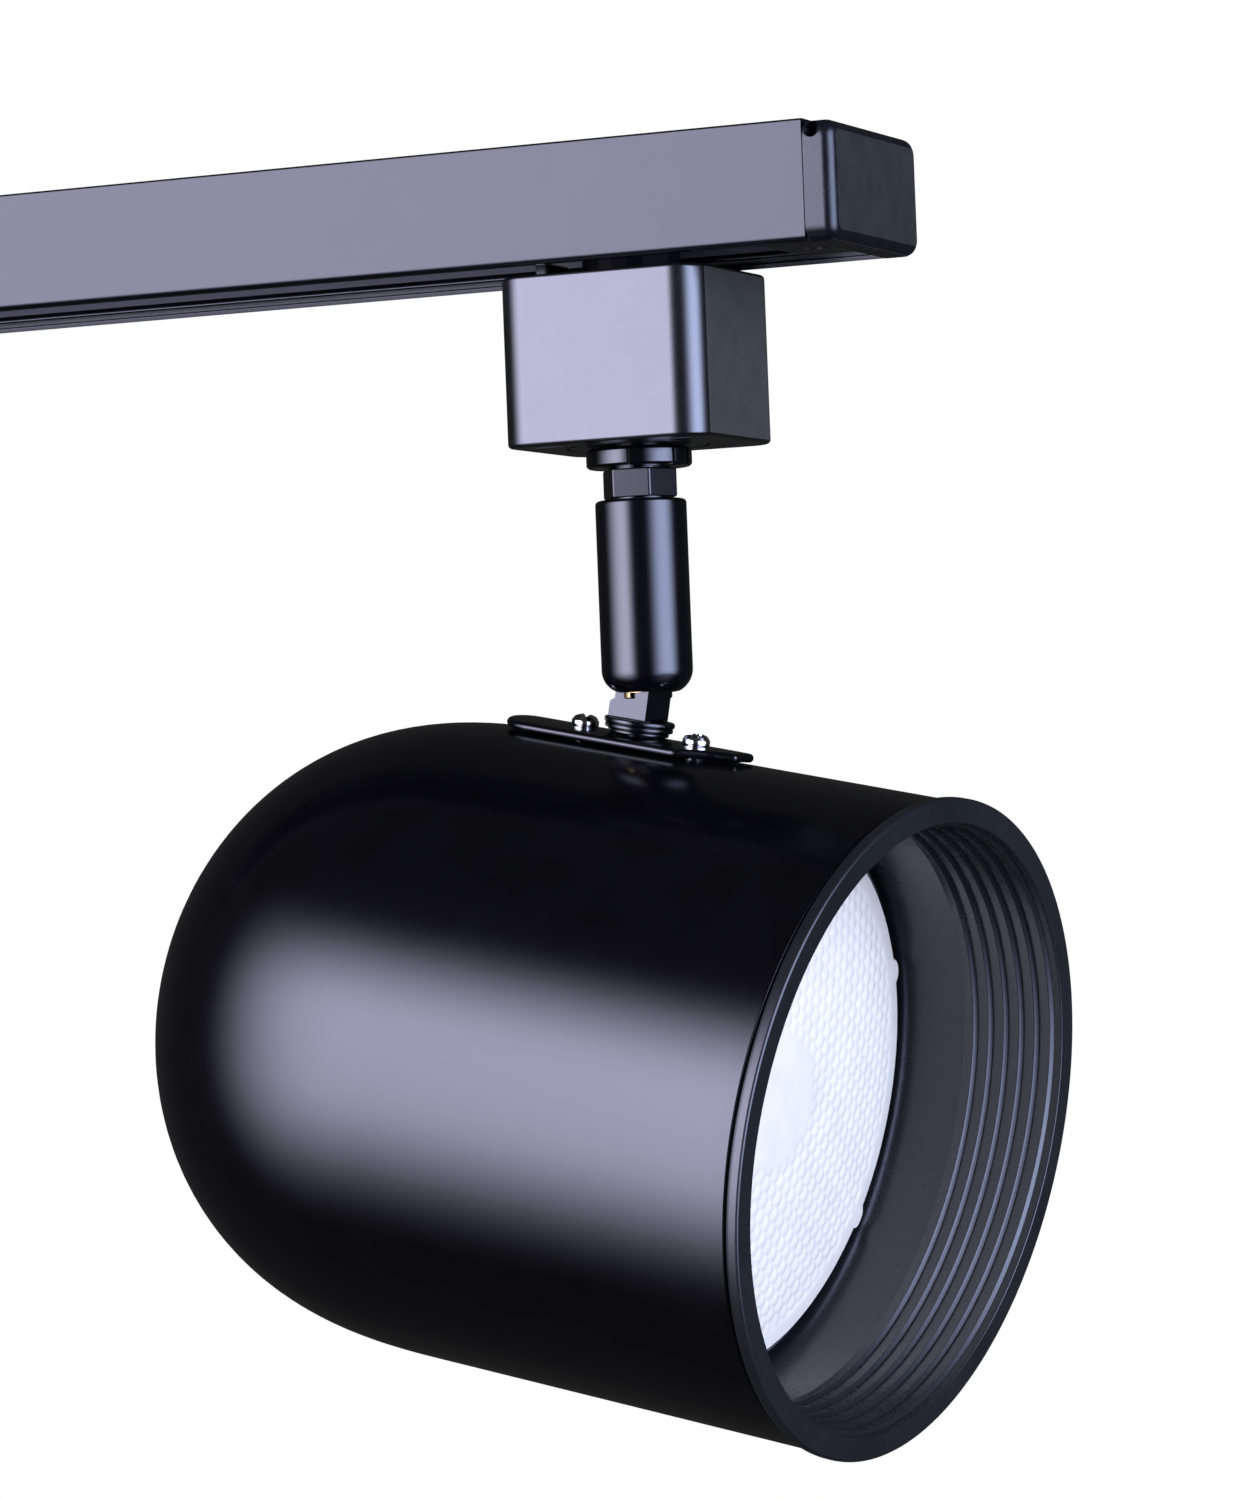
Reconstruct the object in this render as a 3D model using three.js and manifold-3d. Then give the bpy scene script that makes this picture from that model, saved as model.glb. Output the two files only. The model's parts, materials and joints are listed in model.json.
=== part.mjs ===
// Track spotlight: a round-backed lamp holder on a swivel stem, hung from a short length of power track.
// Millimetres, +Z up. The origin is on the track's top face, straight above the stem. +X runs along
// the track to its capped end.
import * as THREE from 'three';
import { mergeVertices } from 'three/addons/utils/BufferGeometryUtils.js';
import Module from 'manifold-3d';

const wasm = await Module();
wasm.setup();

// ---------------------------------------------------------------- driving dimensions

const GAP = 0.3;                // air left between two pieces that touch
const ROUND_STEPS = 20;         // sides of a small turned piece
const WIDE_STEPS = 40;          // sides of a large turned piece
const SCREW_STEPS = 12;         // sides of a screw, a pin or a hole for one
const PAST = 1;                 // how far a cut runs past the faces that it opens
const SINK = 0.5;               // how far a joined piece reaches into the one that carries it
const SEAT = 0.05;              // air under a screw's head

const track = {
  length: 300,                  // from the cut end to the capped end
  reach: 38.6,                  // from the stem's axis to the capped end
  width: 36.2,
  height: 19.8,
  wall: 1.4,
  web: 1.6,
  lip: 0.9,
  rib: 0.8,                     // how far the outer edges stand below the lips
  ribWidth: 1.1,
  slot: 18,
  screwHole: 4.5,
  screwHoleInset: 40,
  screwHolePitch: 140,
};

const liner = { slotClearance: 0.5, grooveHeight: 3.6, backWall: 1.2 };
const busbar = { thickness: 1.6, height: 2.8 };

const cap = {
  plug: 12,                     // how far it reaches into the track
  head: 5.4,                    // how far it stands out of the track
  overhang: 0.8,                // past the track's sides
  topDrop: 0.4,
  bottomDrop: 0.15,
  cornerRadius: 0.8,
  edgeRound: 2.1,
  screwDepth: 8,
};

const adapter = {
  length: 36.5,                 // along the track
  width: 33.5,
  height: 28.2,
  offset: 0.3,                  // its centre is this far past the stem's axis
  drop: 1.5,                    // air under the track
  wall: 2,
  cornerRadius: 5.2,
  lid: 1.6,
  postRadius: 3,
  postDepth: 8,
};

const neck = {
  slotClearance: 0.8,
  bore: 4.8,
  flangeExtra: 2.6,
  flange: 2.2,
  rise: 12.5,                   // above the track's underside
};

const contact = { width: 4, thickness: 1.2, tail: 7 };
const groundSpring = { thickness: 0.6, width: 5, halfLength: 5.5, bend: 1 };
const latch = {
  width: 10,
  thickness: 2.2,
  travel: 3,
  nib: 1.6,
  nibWidth: 9,
  pad: 1.5,
  padHeight: 8,
  padDrop: 6,                   // from the adapter's top down to the pad
  foot: 2,
  ribs: 3,
  rib: 0.5,
  ribHeight: 1,
  ribPitch: 2.2,
  ribStart: 1.5,
};
const latchSpring = { radius: 1.5, wire: 0.5, turns: 4, stepsPerTurn: 10, height: 7, ledge: 2, ledgeHalf: 3 };
const smallScrew = { headRadius: 2.2, head: 1.1, shankRadius: 1.1, shank: 5, slot: 0.5, slotDepth: 0.5, sunk: 0.1 };
const lidScrewInset = { x: 5, y: 4 };         // from the adapter's inner walls

const collar = { radius: 8.8, height: 3.2, flat: 0.6, flatHeight: 1.6 };
const nipple = { radius: 4.9, bore: 3.4, hexRadius: 6.4, hex: 4.8, hexTurn: -14.6, grip: 7, aboveNut: 1 };
const nut = { radius: 8.2, height: 2.6 };

const sleeve = { radius: 7.6, wall: 1.2, length: 32.3, nose: 4.2, noseCut: 0.6, slotRoom: 0.3, slotRise: 3.9 };
const knuckle = { forkGap: 8, forkDepth: 5.6, tipRoom: 0.4, belowSleeve: 0.7, swingRoom: 1.45, pinInset: 1 };
const pivot = { aboveSleeveEnd: 4.9, aboveShell: 13.56, pinRadius: 1.6, bushRadius: 2.7 };
const bracket = { earRadius: 3.15, plate: 1.3, step: 0.9, stepHeight: 3, stepSlope: 0.6, boreRise: 2 };
const aim = { pan: -7.43, tilt: 11.18 };      // degrees: turned to -Y, and nose down

const lamp = {
  radius: 47.5,
  length: 92,
  lensInset: 1.7,               // from the bulb's side to the lens's edge
  lensCrown: 5,
  lensThickness: 2.6,
  lensEdge: 0.8,
  rim: 4,
  glass: 2,
  neckRadius: 14.6,
  baseRadius: 13.1,
  baseLength: 21,
  baseWall: 1,
  threadPitch: 3.6,
  threadDepth: 0.7,
  threadTurns: 4,
  contactRadius: 4,
  contact: 1.6,
  insulator: 2.4,
  insulatorRadius: 9,
};
const capsule = { radius: 6, stemRadius: 3, stem: 8, taper: 6, tip: 4.5, behindLens: 12 };

const baffle = {
  lampClearance: 1.2,
  wall: 1.2,
  clipRoom: 2.8,
  lip: 2.2,
  lipOverhang: 0.7,
  lipEdge: 0.5,
  mouthInset: 3.4,
  stepStart: 1.5,
  stepSlope: 0.6,
  stepPitch: 2.8,
  stepRise: 0.28,
  stepNose: 0.75,
  steps: 6,
  skirtLength: 18.5,
  tail: 22,
};
const baffleClip = { count: 3, width: 8, thickness: 0.5, length: 17, foot: 3 };

const shell = {
  wall: 1,
  noseToPivot: 61,              // from the tilt pin forwards to the trim's front
  lensSetback: 30,
  trimGroove: 0.6,
  domeStart: 15.6,              // behind the tilt pin
  domePower: 2.64,
  domeSteps: 7,
  edge: 0.6,
  backRoom: 14.4,               // from the socket strap to the inside of the dome
};

const saddle = {
  length: 44.5,
  centre: -1.25,
  width: 16,
  thickness: 1.5,
  tongue: 9,
  tongueWidth: 6,
  tongueBend: 2,
  cornerRadius: 6,
  screwPitch: 21.8,
  screwCentre: 0.4,
};
const saddleScrew = {
  headRadius: 2.3,
  head: 2,
  rim: 0.8,
  shankRadius: 1.5,
  recess: 0.7,
  recessReach: 0.55,            // share of the head's radius
  recessDepth: 1,
  belowStrap: 1.5,
};
const bushing = { radius: 5.9, height: 2.5, neck: 0.7, lowBead: 0.8, slope: 0.3, edge: 0.4 };
const stud = { radius: 4.2, bore: 2.7 };

const socket = {
  radius: 19,
  depth: 30,
  wall: 4,
  back: 4,
  liner: 0.5,
  backBevel: 3,
  backTaper: 5,
  frontBevel: 1,
  linerInset: { back: 6, front: 3 },
  contactThickness: 0.3,
  contactWidth: 4,
  contactReach: 6,
  screwOffset: 8,
  screwRadius: 1.4,
  screwHeadExtra: 1.2,
  screwHead: 2,
};
const strap = { width: 13, thickness: 1.2, frontReach: 15, tail: 4, bendInset: 2, backRise: 1.35 };
const lead = { radius: 1.1, sides: 3, steps: 10, spread: 1.5 };

// ---------------------------------------------------------------- worked-out places

const trackEnd = track.reach;
const trackStart = track.reach - track.length;
const trackBottom = -track.height;
const trackInner = track.width / 2 - track.wall;
const cavityTop = -track.web;
const lipBottom = trackBottom + track.rib;
const cavityBottom = lipBottom + track.lip;
const linerInner = track.slot / 2 + liner.slotClearance;
const linerOuter = trackInner - GAP;
const busbarOuter = linerOuter - liner.backWall - GAP;
const busbarInner = busbarOuter - busbar.thickness;
const busbarZ = (cavityTop + cavityBottom) / 2;
const plugStart = trackEnd - cap.plug;
const linerEnd = plugStart - GAP;

const adapterTop = trackBottom - adapter.drop;
const adapterBottom = adapterTop - adapter.height;
const adapterFloor = adapterBottom + adapter.wall;
const adapterBack = adapter.offset - adapter.length / 2;
const neckRadius = track.slot / 2 - neck.slotClearance;
const neckTop = trackBottom + neck.rise;
const lidBottom = adapterTop - adapter.lid;
const neckFlangeRadius = neckRadius + neck.flangeExtra;
const neckBottom = lidBottom - GAP - neck.flange;

const collarTop = adapterBottom - GAP;
const collarBottom = collarTop - collar.height;
const hexTop = collarBottom - GAP;
const hexBottom = hexTop - nipple.hex;
const sleeveTop = hexBottom - GAP;
const sleeveBottom = sleeveTop - sleeve.length;
const pivotZ = sleeveBottom + pivot.aboveSleeveEnd;
const nippleBore = nipple.radius + GAP;
const sleeveInner = sleeve.radius - sleeve.wall;
const knuckleRadius = sleeveInner - GAP;
const knuckleTop = sleeveTop - sleeve.wall - GAP;
const knuckleBottom = sleeveBottom - knuckle.belowSleeve;
const innerNose = sleeve.nose - sleeve.wall;
const openingRadius = sleeveInner - innerNose + Math.sqrt(innerNose ** 2 - (innerNose - sleeve.noseCut) ** 2);
const tipRadius = openingRadius - knuckle.tipRoom;
const forkTop = pivotZ + knuckle.forkDepth;
const forkFront = bracket.earRadius + knuckle.swingRoom;
const bracketHalf = knuckle.forkGap / 2 - GAP;

const throatRadius = lamp.radius + baffle.lampClearance;
const shellInner = throatRadius + baffle.wall + baffle.clipRoom;
const shellRadius = shellInner + shell.wall;
const axisDrop = shellRadius + pivot.aboveShell;
const trimFront = shell.noseToPivot;
const trimBack = trimFront - baffle.lip;
const shellFront = trimBack - shell.trimGroove;
const lensRadius = lamp.radius - lamp.lensInset;
const lensRim = trimFront - shell.lensSetback;
const lampEnd = lensRim + lamp.lensCrown - lamp.length;
const baseEnd = lampEnd + lamp.contact + lamp.insulator + GAP;
const baseStart = baseEnd + lamp.baseLength;
const socketFloor = lampEnd - 2 * GAP - socket.liner;
const socketBack = socketFloor - socket.back;
const socketFront = socketBack + socket.depth;
const socketBore = socket.radius - socket.wall;
const strapX = socketBack - GAP;
const domeTip = strapX - strap.thickness - shell.backRoom;
const domeLength = -shell.domeStart - domeTip;
const plateBottom = -pivot.aboveShell + GAP;
const plateTop = plateBottom + saddle.thickness;
const bushingTop = plateTop + GAP / 2 + bushing.height;
const bracketFoot = bushingTop + GAP / 2;
const shellUnder = -pivot.aboveShell - shell.wall;
const strapTop = shellUnder - 2 * GAP;
const strapUnder = strapTop - strap.thickness;

// ---------------------------------------------------------------- materials

const paint = (color, roughness = 0.38, metalness = 0) =>
  new THREE.MeshStandardMaterial({ color, roughness, metalness });
const blackEnamel = () => paint(0x0b0b0d, 0.32);
const blackMoulding = () => paint(0x111214, 0.42);
const greyInsulator = () => paint(0x3a3b3f, 0.6);
const copper = () => paint(0xb87048, 0.35, 1);
const brass = () => paint(0xc8a050, 0.3, 1);
const zincSteel = () => paint(0xb4b6b8, 0.35, 1);
const brightChrome = () => paint(0xe4e4e6, 0.12, 1);
const porcelain = () => paint(0xeeebe2, 0.3);
const frostedGlass = () => paint(0xf2f4f8, 0.35);
const mirroredGlass = () => paint(0xc8cacc, 0.15, 0.9);
const fibreSleeving = (color) => paint(color, 0.6);

// ---------------------------------------------------------------- solids

// A closed geometry as a manifold solid; triangles that shrank to a line on the axis are dropped.
function solid(geometry) {
  const bare = geometry.clone();
  bare.deleteAttribute('normal');
  bare.deleteAttribute('uv');
  const merged = mergeVertices(bare, 1e-4);
  const index = merged.index.array;
  const kept = [];
  for (let i = 0; i < index.length; i += 3) {
    const [a, b, c] = [index[i], index[i + 1], index[i + 2]];
    if (a !== b && b !== c && c !== a) kept.push(a, b, c);
  }
  const mesh = new wasm.Mesh({
    numProp: 3,
    vertProperties: new Float32Array(merged.attributes.position.array),
    triVerts: new Uint32Array(kept),
  });
  return new wasm.Manifold(mesh);
}

// The solid's surface as a geometry that a mesh can hold.
function surface(body) {
  const mesh = body.getMesh();
  const geometry = new THREE.BufferGeometry();
  geometry.setAttribute('position', new THREE.BufferAttribute(mesh.vertProperties, 3));
  geometry.setIndex(new THREE.BufferAttribute(mesh.triVerts, 1));
  geometry.computeVertexNormals();
  return geometry;
}

const joined = (...bodies) => bodies.reduce((sum, body) => sum.add(body));
const minus = (body, ...cuts) => cuts.reduce((rest, piece) => rest.subtract(piece), body);

// A block between two corners.
function block([x0, y0, z0], [x1, y1, z1]) {
  const geometry = new THREE.BoxGeometry(x1 - x0, y1 - y0, z1 - z0);
  geometry.translate((x0 + x1) / 2, (y0 + y1) / 2, (z0 + z1) / 2);
  return solid(geometry);
}

// An outline of [radius, height] points turned about an axis. It starts and ends on the axis, or closes.
function turned(outline, steps = ROUND_STEPS, axis = 'z') {
  const points = outline.map(([radius, height]) => new THREE.Vector2(Math.max(radius, 0), height));
  const geometry = new THREE.LatheGeometry(points, steps);
  if (axis === 'z') geometry.rotateX(Math.PI / 2);
  if (axis === 'x') geometry.rotateZ(-Math.PI / 2);
  return solid(geometry);
}

// A ring or tube with square edges, and a solid rod.
function ring(outer, inner, low, high, steps, axis) {
  return turned([[inner, low], [outer, low], [outer, high], [inner, high], [inner, low]], steps, axis);
}

function rod(radius, low, high, steps, axis) {
  return turned([[0, low], [radius, low], [radius, high], [0, high]], steps, axis);
}

// A six-sided prism on the z axis, measured across its corners.
function hexagon(radius, low, high) {
  const geometry = new THREE.CylinderGeometry(radius, radius, high - low, 6);
  geometry.rotateX(Math.PI / 2);
  geometry.translate(0, 0, (low + high) / 2);
  return solid(geometry);
}

// A flat shape pushed along one axis. Its two coordinates are the other two axes, in X, Y, Z order.
function prism(shape, low, high, axis = 'x', curveSegments = 4) {
  const geometry = new THREE.ExtrudeGeometry(shape, { depth: high - low, bevelEnabled: false, curveSegments });
  const basis = new THREE.Matrix4();
  const [ex, ey, ez] = [[1, 0, 0], [0, 1, 0], [0, 0, 1]].map((v) => new THREE.Vector3(...v));
  if (axis === 'x') basis.makeBasis(ey, ez, ex).setPosition(low, 0, 0);
  if (axis === 'y') basis.makeBasis(ex, ez, ey.clone().negate()).setPosition(0, high, 0);
  if (axis === 'z') basis.makeBasis(ex, ey, ez).setPosition(0, 0, low);
  geometry.applyMatrix4(basis);
  return solid(geometry);
}

const polygon = (points) => new THREE.Shape(points.map(([a, b]) => new THREE.Vector2(a, b)));

// A rectangle with rounded corners, between two corners.
function roundedRectangle(a0, b0, a1, b1, radius) {
  const shape = new THREE.Shape();
  shape.moveTo(a0 + radius, b0);
  shape.lineTo(a1 - radius, b0);
  shape.absarc(a1 - radius, b0 + radius, radius, -Math.PI / 2, 0);
  shape.lineTo(a1, b1 - radius);
  shape.absarc(a1 - radius, b1 - radius, radius, 0, Math.PI / 2);
  shape.lineTo(a0 + radius, b1);
  shape.absarc(a0 + radius, b1 - radius, radius, Math.PI / 2, Math.PI);
  shape.lineTo(a0, b0 + radius);
  shape.absarc(a0 + radius, b0 + radius, radius, Math.PI, 1.5 * Math.PI);
  return shape;
}

// The outline of a strip bent along a line of points, on the left of the line as it runs.
function bentStrip(points, thickness) {
  const normals = [];
  for (let i = 0; i + 1 < points.length; i += 1) {
    const [dx, dy] = [points[i + 1][0] - points[i][0], points[i + 1][1] - points[i][1]];
    const length = Math.hypot(dx, dy);
    normals.push([-dy / length, dx / length]);
  }
  const offset = points.map(([x, y], i) => {
    const before = normals[Math.max(i - 1, 0)];
    const after = normals[Math.min(i, normals.length - 1)];
    const mitre = thickness / (1 + before[0] * after[0] + before[1] * after[1]);
    return [x + (before[0] + after[0]) * mitre, y + (before[1] + after[1]) * mitre];
  });
  return polygon([...points, ...offset.reverse()]);
}

// A round wire along a smooth curve.
function wire(curve, radius, sides, steps) {
  const section = new THREE.Shape();
  section.absarc(0, 0, radius, 0, 2 * Math.PI);
  const settings = { steps, curveSegments: sides, bevelEnabled: false, extrudePath: curve };
  return solid(new THREE.ExtrudeGeometry(section, settings));
}

function node(name, body, material) {
  const mesh = new THREE.Mesh(surface(body), material);
  mesh.name = name;
  return mesh;
}

// ---------------------------------------------------------------- track

function channelShape() {
  const half = track.width / 2;
  const slot = track.slot / 2;
  const r = track.ribWidth;
  const shape = new THREE.Shape();
  shape.moveTo(-half, 0);
  shape.lineTo(-half, trackBottom + r);
  shape.absarc(-half + r, trackBottom + r, r, Math.PI, 1.5 * Math.PI);
  shape.lineTo(-half + r, lipBottom);
  shape.lineTo(-slot, lipBottom);
  shape.lineTo(-slot, cavityBottom);
  shape.lineTo(-trackInner, cavityBottom);
  shape.lineTo(-trackInner, cavityTop);
  shape.lineTo(trackInner, cavityTop);
  shape.lineTo(trackInner, cavityBottom);
  shape.lineTo(slot, cavityBottom);
  shape.lineTo(slot, lipBottom);
  shape.lineTo(half - r, lipBottom);
  shape.absarc(half - r, trackBottom + r, r, -Math.PI / 2, 0);
  shape.lineTo(half, 0);
  return shape;
}

function trackChannel() {
  const holes = [0, 1].map((i) => {
    const hole = rod(track.screwHole / 2, cavityTop - PAST, PAST, SCREW_STEPS);
    return hole.translate([trackStart + track.screwHoleInset + i * track.screwHolePitch, 0, 0]);
  });
  return node('track_channel', minus(prism(channelShape(), trackStart, trackEnd), ...holes), blackEnamel());
}

// side is -1 for the near side and +1 for the far side.
function trackLiner(name, side) {
  const high = cavityTop - GAP;
  const low = cavityBottom + GAP;
  const grooveHigh = busbarZ + liner.grooveHeight / 2;
  const grooveLow = busbarZ - liner.grooveHeight / 2;
  const grooveBack = linerOuter - liner.backWall;
  const outline = [
    [linerInner, low], [linerOuter, low], [linerOuter, high], [linerInner, high],
    [linerInner, grooveHigh], [grooveBack, grooveHigh], [grooveBack, grooveLow], [linerInner, grooveLow],
  ].map(([y, z]) => [side * y, z]);
  return node(name, prism(polygon(outline), trackStart, linerEnd), greyInsulator());
}

function trackBusbar(name, side) {
  const ys = [side * busbarInner, side * busbarOuter].sort((a, b) => a - b);
  const bar = block(
    [trackStart, ys[0], busbarZ - busbar.height / 2],
    [linerEnd, ys[1], busbarZ + busbar.height / 2],
  );
  return node(name, bar, copper());
}

const capScrewX = plugStart + cap.plug / 2;

// A plug with a tongue between the track's lips, and a head with rounded edges outside.
function endCap() {
  const plugHalf = trackInner - GAP;
  const tongueHalf = track.slot / 2 - GAP;
  const headStart = trackEnd + GAP;
  const joint = headStart + SINK;
  const plug = block([plugStart, -plugHalf, cavityBottom + GAP], [joint, plugHalf, cavityTop - GAP]);
  const tongue = block([plugStart, -tongueHalf, lipBottom], [joint, tongueHalf, cavityBottom + GAP + SINK]);
  const inset = cap.edgeRound;
  const half = track.width / 2 + cap.overhang - inset;
  const [faceLow, faceHigh] = [trackBottom - cap.bottomDrop + inset, -cap.topDrop - inset];
  const face = roundedRectangle(-half, faceLow, half, faceHigh, cap.cornerRadius);
  const headGeometry = new THREE.ExtrudeGeometry(face, {
    depth: cap.head,
    bevelSize: inset,
    bevelThickness: inset,
    bevelSegments: 3,
    curveSegments: 2,
  });
  const turn = new THREE.Matrix4();
  turn.makeBasis(new THREE.Vector3(0, 1, 0), new THREE.Vector3(0, 0, 1), new THREE.Vector3(1, 0, 0));
  turn.setPosition(headStart - inset, 0, 0);
  headGeometry.applyMatrix4(turn);
  const behind = block(
    [headStart - 2 * inset - PAST, -track.width, trackBottom - track.height],
    [headStart, track.width, track.height],
  );
  const shankHole = rod(smallScrew.shankRadius + GAP, trackBottom - PAST, trackBottom + cap.screwDepth);
  const headHole = rod(smallScrew.headRadius + GAP, trackBottom - PAST, lipBottom + smallScrew.head + GAP);
  const holes = [shankHole, headHole].map((hole) => hole.translate([capScrewX, 0, 0]));
  const head = minus(solid(headGeometry), behind);
  return node('end_cap', minus(joined(plug, tongue, head), ...holes), blackMoulding());
}

// A small slotted screw: head at the bottom, shank up. direction -1 turns it over.
function slottedScrew(name, place, direction, material) {
  const { headRadius, head, shankRadius, shank, slot, slotDepth } = smallScrew;
  const high = head + shank;
  const outline = [
    [0, 0], [headRadius, 0], [headRadius, head], [shankRadius, head], [shankRadius, high], [0, high],
  ];
  const cut = block([-headRadius, -slot / 2, -PAST], [headRadius, slot / 2, slotDepth]);
  const mesh = node(name, minus(turned(outline, SCREW_STEPS), cut), material);
  mesh.rotation.x = direction > 0 ? 0 : Math.PI;
  mesh.position.set(...place);
  return mesh;
}

// ---------------------------------------------------------------- adapter

const windowHalf = latch.width / 2 + GAP;
const latchX = adapterBack + adapter.wall + GAP;
const latchNibTop = trackBottom + latch.nib;
const latchPadTop = adapterTop - latch.padDrop;
const latchPadBottom = latchPadTop - latch.padHeight;
const latchFoot = latchPadBottom - latch.foot;
const latchFront = latchX + latch.thickness;
const springTop = latchFoot - GAP / 2;
const springLedge = springTop - latchSpring.height;
const lidScrewX = adapter.length / 2 - adapter.wall - lidScrewInset.x;
const lidScrewY = adapter.width / 2 - adapter.wall - lidScrewInset.y;

function adapterHousing() {
  const [x0, x1] = [adapterBack, adapterBack + adapter.length];
  const half = adapter.width / 2;
  const outer = prism(
    roundedRectangle(x0, -half, x1, half, adapter.cornerRadius),
    adapterBottom,
    adapterTop,
    'z',
  );
  const w = adapter.wall;
  const hollow = prism(
    roundedRectangle(x0 + w, -half + w, x1 - w, half - w, adapter.cornerRadius - w),
    adapterFloor,
    adapterTop + PAST,
    'z',
  );
  const stemHole = rod(nippleBore, adapterBottom - PAST, adapterFloor + PAST);
  const thumbWindow = block(
    [x0 - PAST, -windowHalf, latchPadBottom - latch.travel - GAP],
    [x0 + w + GAP, windowHalf, latchPadTop + GAP],
  );
  const ledge = block(
    [x0 + w - SINK, -latchSpring.ledgeHalf, springLedge - latchSpring.ledge],
    [latchFront + PAST, latchSpring.ledgeHalf, springLedge - GAP / 2],
  );
  const posts = [-1, 1].map((side) => {
    const post = rod(adapter.postRadius, adapterFloor - SINK, lidBottom - GAP, SCREW_STEPS);
    const bore = rod(smallScrew.shankRadius + GAP, lidBottom - adapter.postDepth, lidBottom + PAST, SCREW_STEPS);
    return minus(post, bore).translate([adapter.offset + side * lidScrewX, side * lidScrewY, 0]);
  });
  const body = joined(minus(outer, hollow, stemHole, thumbWindow), ledge, ...posts);
  return node('adapter_housing', body, blackMoulding());
}

function adapterLid() {
  const inset = adapter.wall + GAP;
  const half = adapter.width / 2 - inset;
  const plate = prism(
    roundedRectangle(
      adapterBack + inset, -half,
      adapterBack + adapter.length - inset, half,
      adapter.cornerRadius - adapter.wall,
    ),
    lidBottom,
    adapterTop,
    'z',
  );
  const neckHole = rod(neckRadius + GAP, lidBottom - PAST, adapterTop + PAST);
  const latchSlot = block(
    [adapterBack, -latch.nibWidth / 2 - GAP, lidBottom - PAST],
    [latchFront + GAP, latch.nibWidth / 2 + GAP, adapterTop + PAST],
  );
  const screwHoles = [-1, 1].flatMap((side) => {
    const place = [adapter.offset + side * lidScrewX, side * lidScrewY, 0];
    const headLow = adapterTop - smallScrew.head - GAP;
    return [
      rod(smallScrew.shankRadius + GAP, lidBottom - PAST, adapterTop + PAST, SCREW_STEPS).translate(place),
      rod(smallScrew.headRadius + GAP, headLow, adapterTop + PAST, SCREW_STEPS).translate(place),
    ];
  });
  return node('adapter_lid', minus(plate, neckHole, latchSlot, ...screwHoles), blackMoulding());
}

function adapterNeck() {
  const outline = [
    [neck.bore, neckBottom], [neckFlangeRadius, neckBottom], [neckFlangeRadius, lidBottom - GAP],
    [neckRadius, lidBottom - GAP], [neckRadius, neckTop], [neck.bore, neckTop], [neck.bore, neckBottom],
  ];
  const slots = block(
    [-contact.width / 2 - GAP, -neckRadius - PAST, busbarZ - contact.thickness / 2 - GAP],
    [contact.width / 2 + GAP, neckRadius + PAST, busbarZ + contact.thickness / 2 + GAP],
  );
  return node('adapter_neck', minus(turned(outline, ROUND_STEPS), slots), blackMoulding());
}

// A blade that reaches from the neck's bore into the liner's groove, with a tail down the bore.
function sideContact(name, side) {
  const inner = Math.sqrt((neck.bore - GAP) ** 2 - (contact.width / 2) ** 2) - contact.thickness;
  const outer = busbarInner - GAP;
  const half = contact.thickness / 2;
  const line = [
    [side * inner, busbarZ - half - contact.tail],
    [side * inner, busbarZ + half],
    [side * outer, busbarZ + half],
  ];
  const strip = bentStrip(line, -side * contact.thickness);
  return node(name, prism(strip, -contact.width / 2, contact.width / 2), copper());
}

// A leaf folded back on itself that bears on the track's web.
function groundContact() {
  const low = neckTop + GAP;
  const high = cavityTop - GAP;
  const { thickness, width, halfLength, bend } = groundSpring;
  const line = [
    [-halfLength, low], [halfLength, low], [halfLength + bend, low + bend],
    [-halfLength + 1.5 * bend, high - thickness], [-halfLength, high - 2 * thickness],
  ];
  return node('contact_ground', prism(bentStrip(line, thickness), -width / 2, width / 2, 'y'), copper());
}

// The thumb pad outside the window, its plate inside, and a nib that rises into the track's slot.
function latchTab() {
  const half = latch.width / 2;
  const plateTop = lidBottom - latch.travel;
  const padFace = adapterBack - latch.pad;
  const plate = block([latchX, -half, latchFoot], [latchFront, half, plateTop]);
  const nib = block([latchX, -latch.nibWidth / 2, plateTop - SINK], [latchFront, latch.nibWidth / 2, latchNibTop]);
  const pad = block([padFace, -half, latchPadBottom], [latchX + SINK, half, latchPadTop]);
  const ribs = Array.from({ length: latch.ribs }, (_, i) => {
    const z = latchPadBottom + latch.ribStart + i * latch.ribPitch;
    return block([padFace - latch.rib, -half, z], [padFace + SINK, half, z + latch.ribHeight]);
  });
  return node('latch_tab', joined(plate, nib, pad, ...ribs), blackMoulding());
}

class CoilCurve extends THREE.Curve {
  getPoint(t, target = new THREE.Vector3()) {
    const angle = 2 * Math.PI * latchSpring.turns * t;
    const radius = latchSpring.radius - latchSpring.wire / 2;
    const rise = latchSpring.height - latchSpring.wire;
    return target.set(radius * Math.cos(angle), radius * Math.sin(angle), latchSpring.wire / 2 + rise * t);
  }
}

function latchReturnSpring() {
  const steps = latchSpring.stepsPerTurn * latchSpring.turns;
  const coil = wire(new CoilCurve(), latchSpring.wire / 2, 3, steps);
  const mesh = node('latch_spring', coil, zincSteel());
  mesh.position.set(latchX + latchSpring.radius, 0, springLedge);
  return mesh;
}

function swivelCollar() {
  const body = ring(collar.radius, nippleBore, collarBottom, collarTop, ROUND_STEPS);
  const inner = collar.radius - collar.flat;
  const outer = collar.radius + PAST;
  const flats = [-outer, inner].map((x) => block(
    [x, -outer, collarBottom - PAST],
    [x + outer - inner, outer, collarBottom + collar.flatHeight],
  ));
  return node('swivel_collar', minus(body, ...flats), blackMoulding());
}

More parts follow.
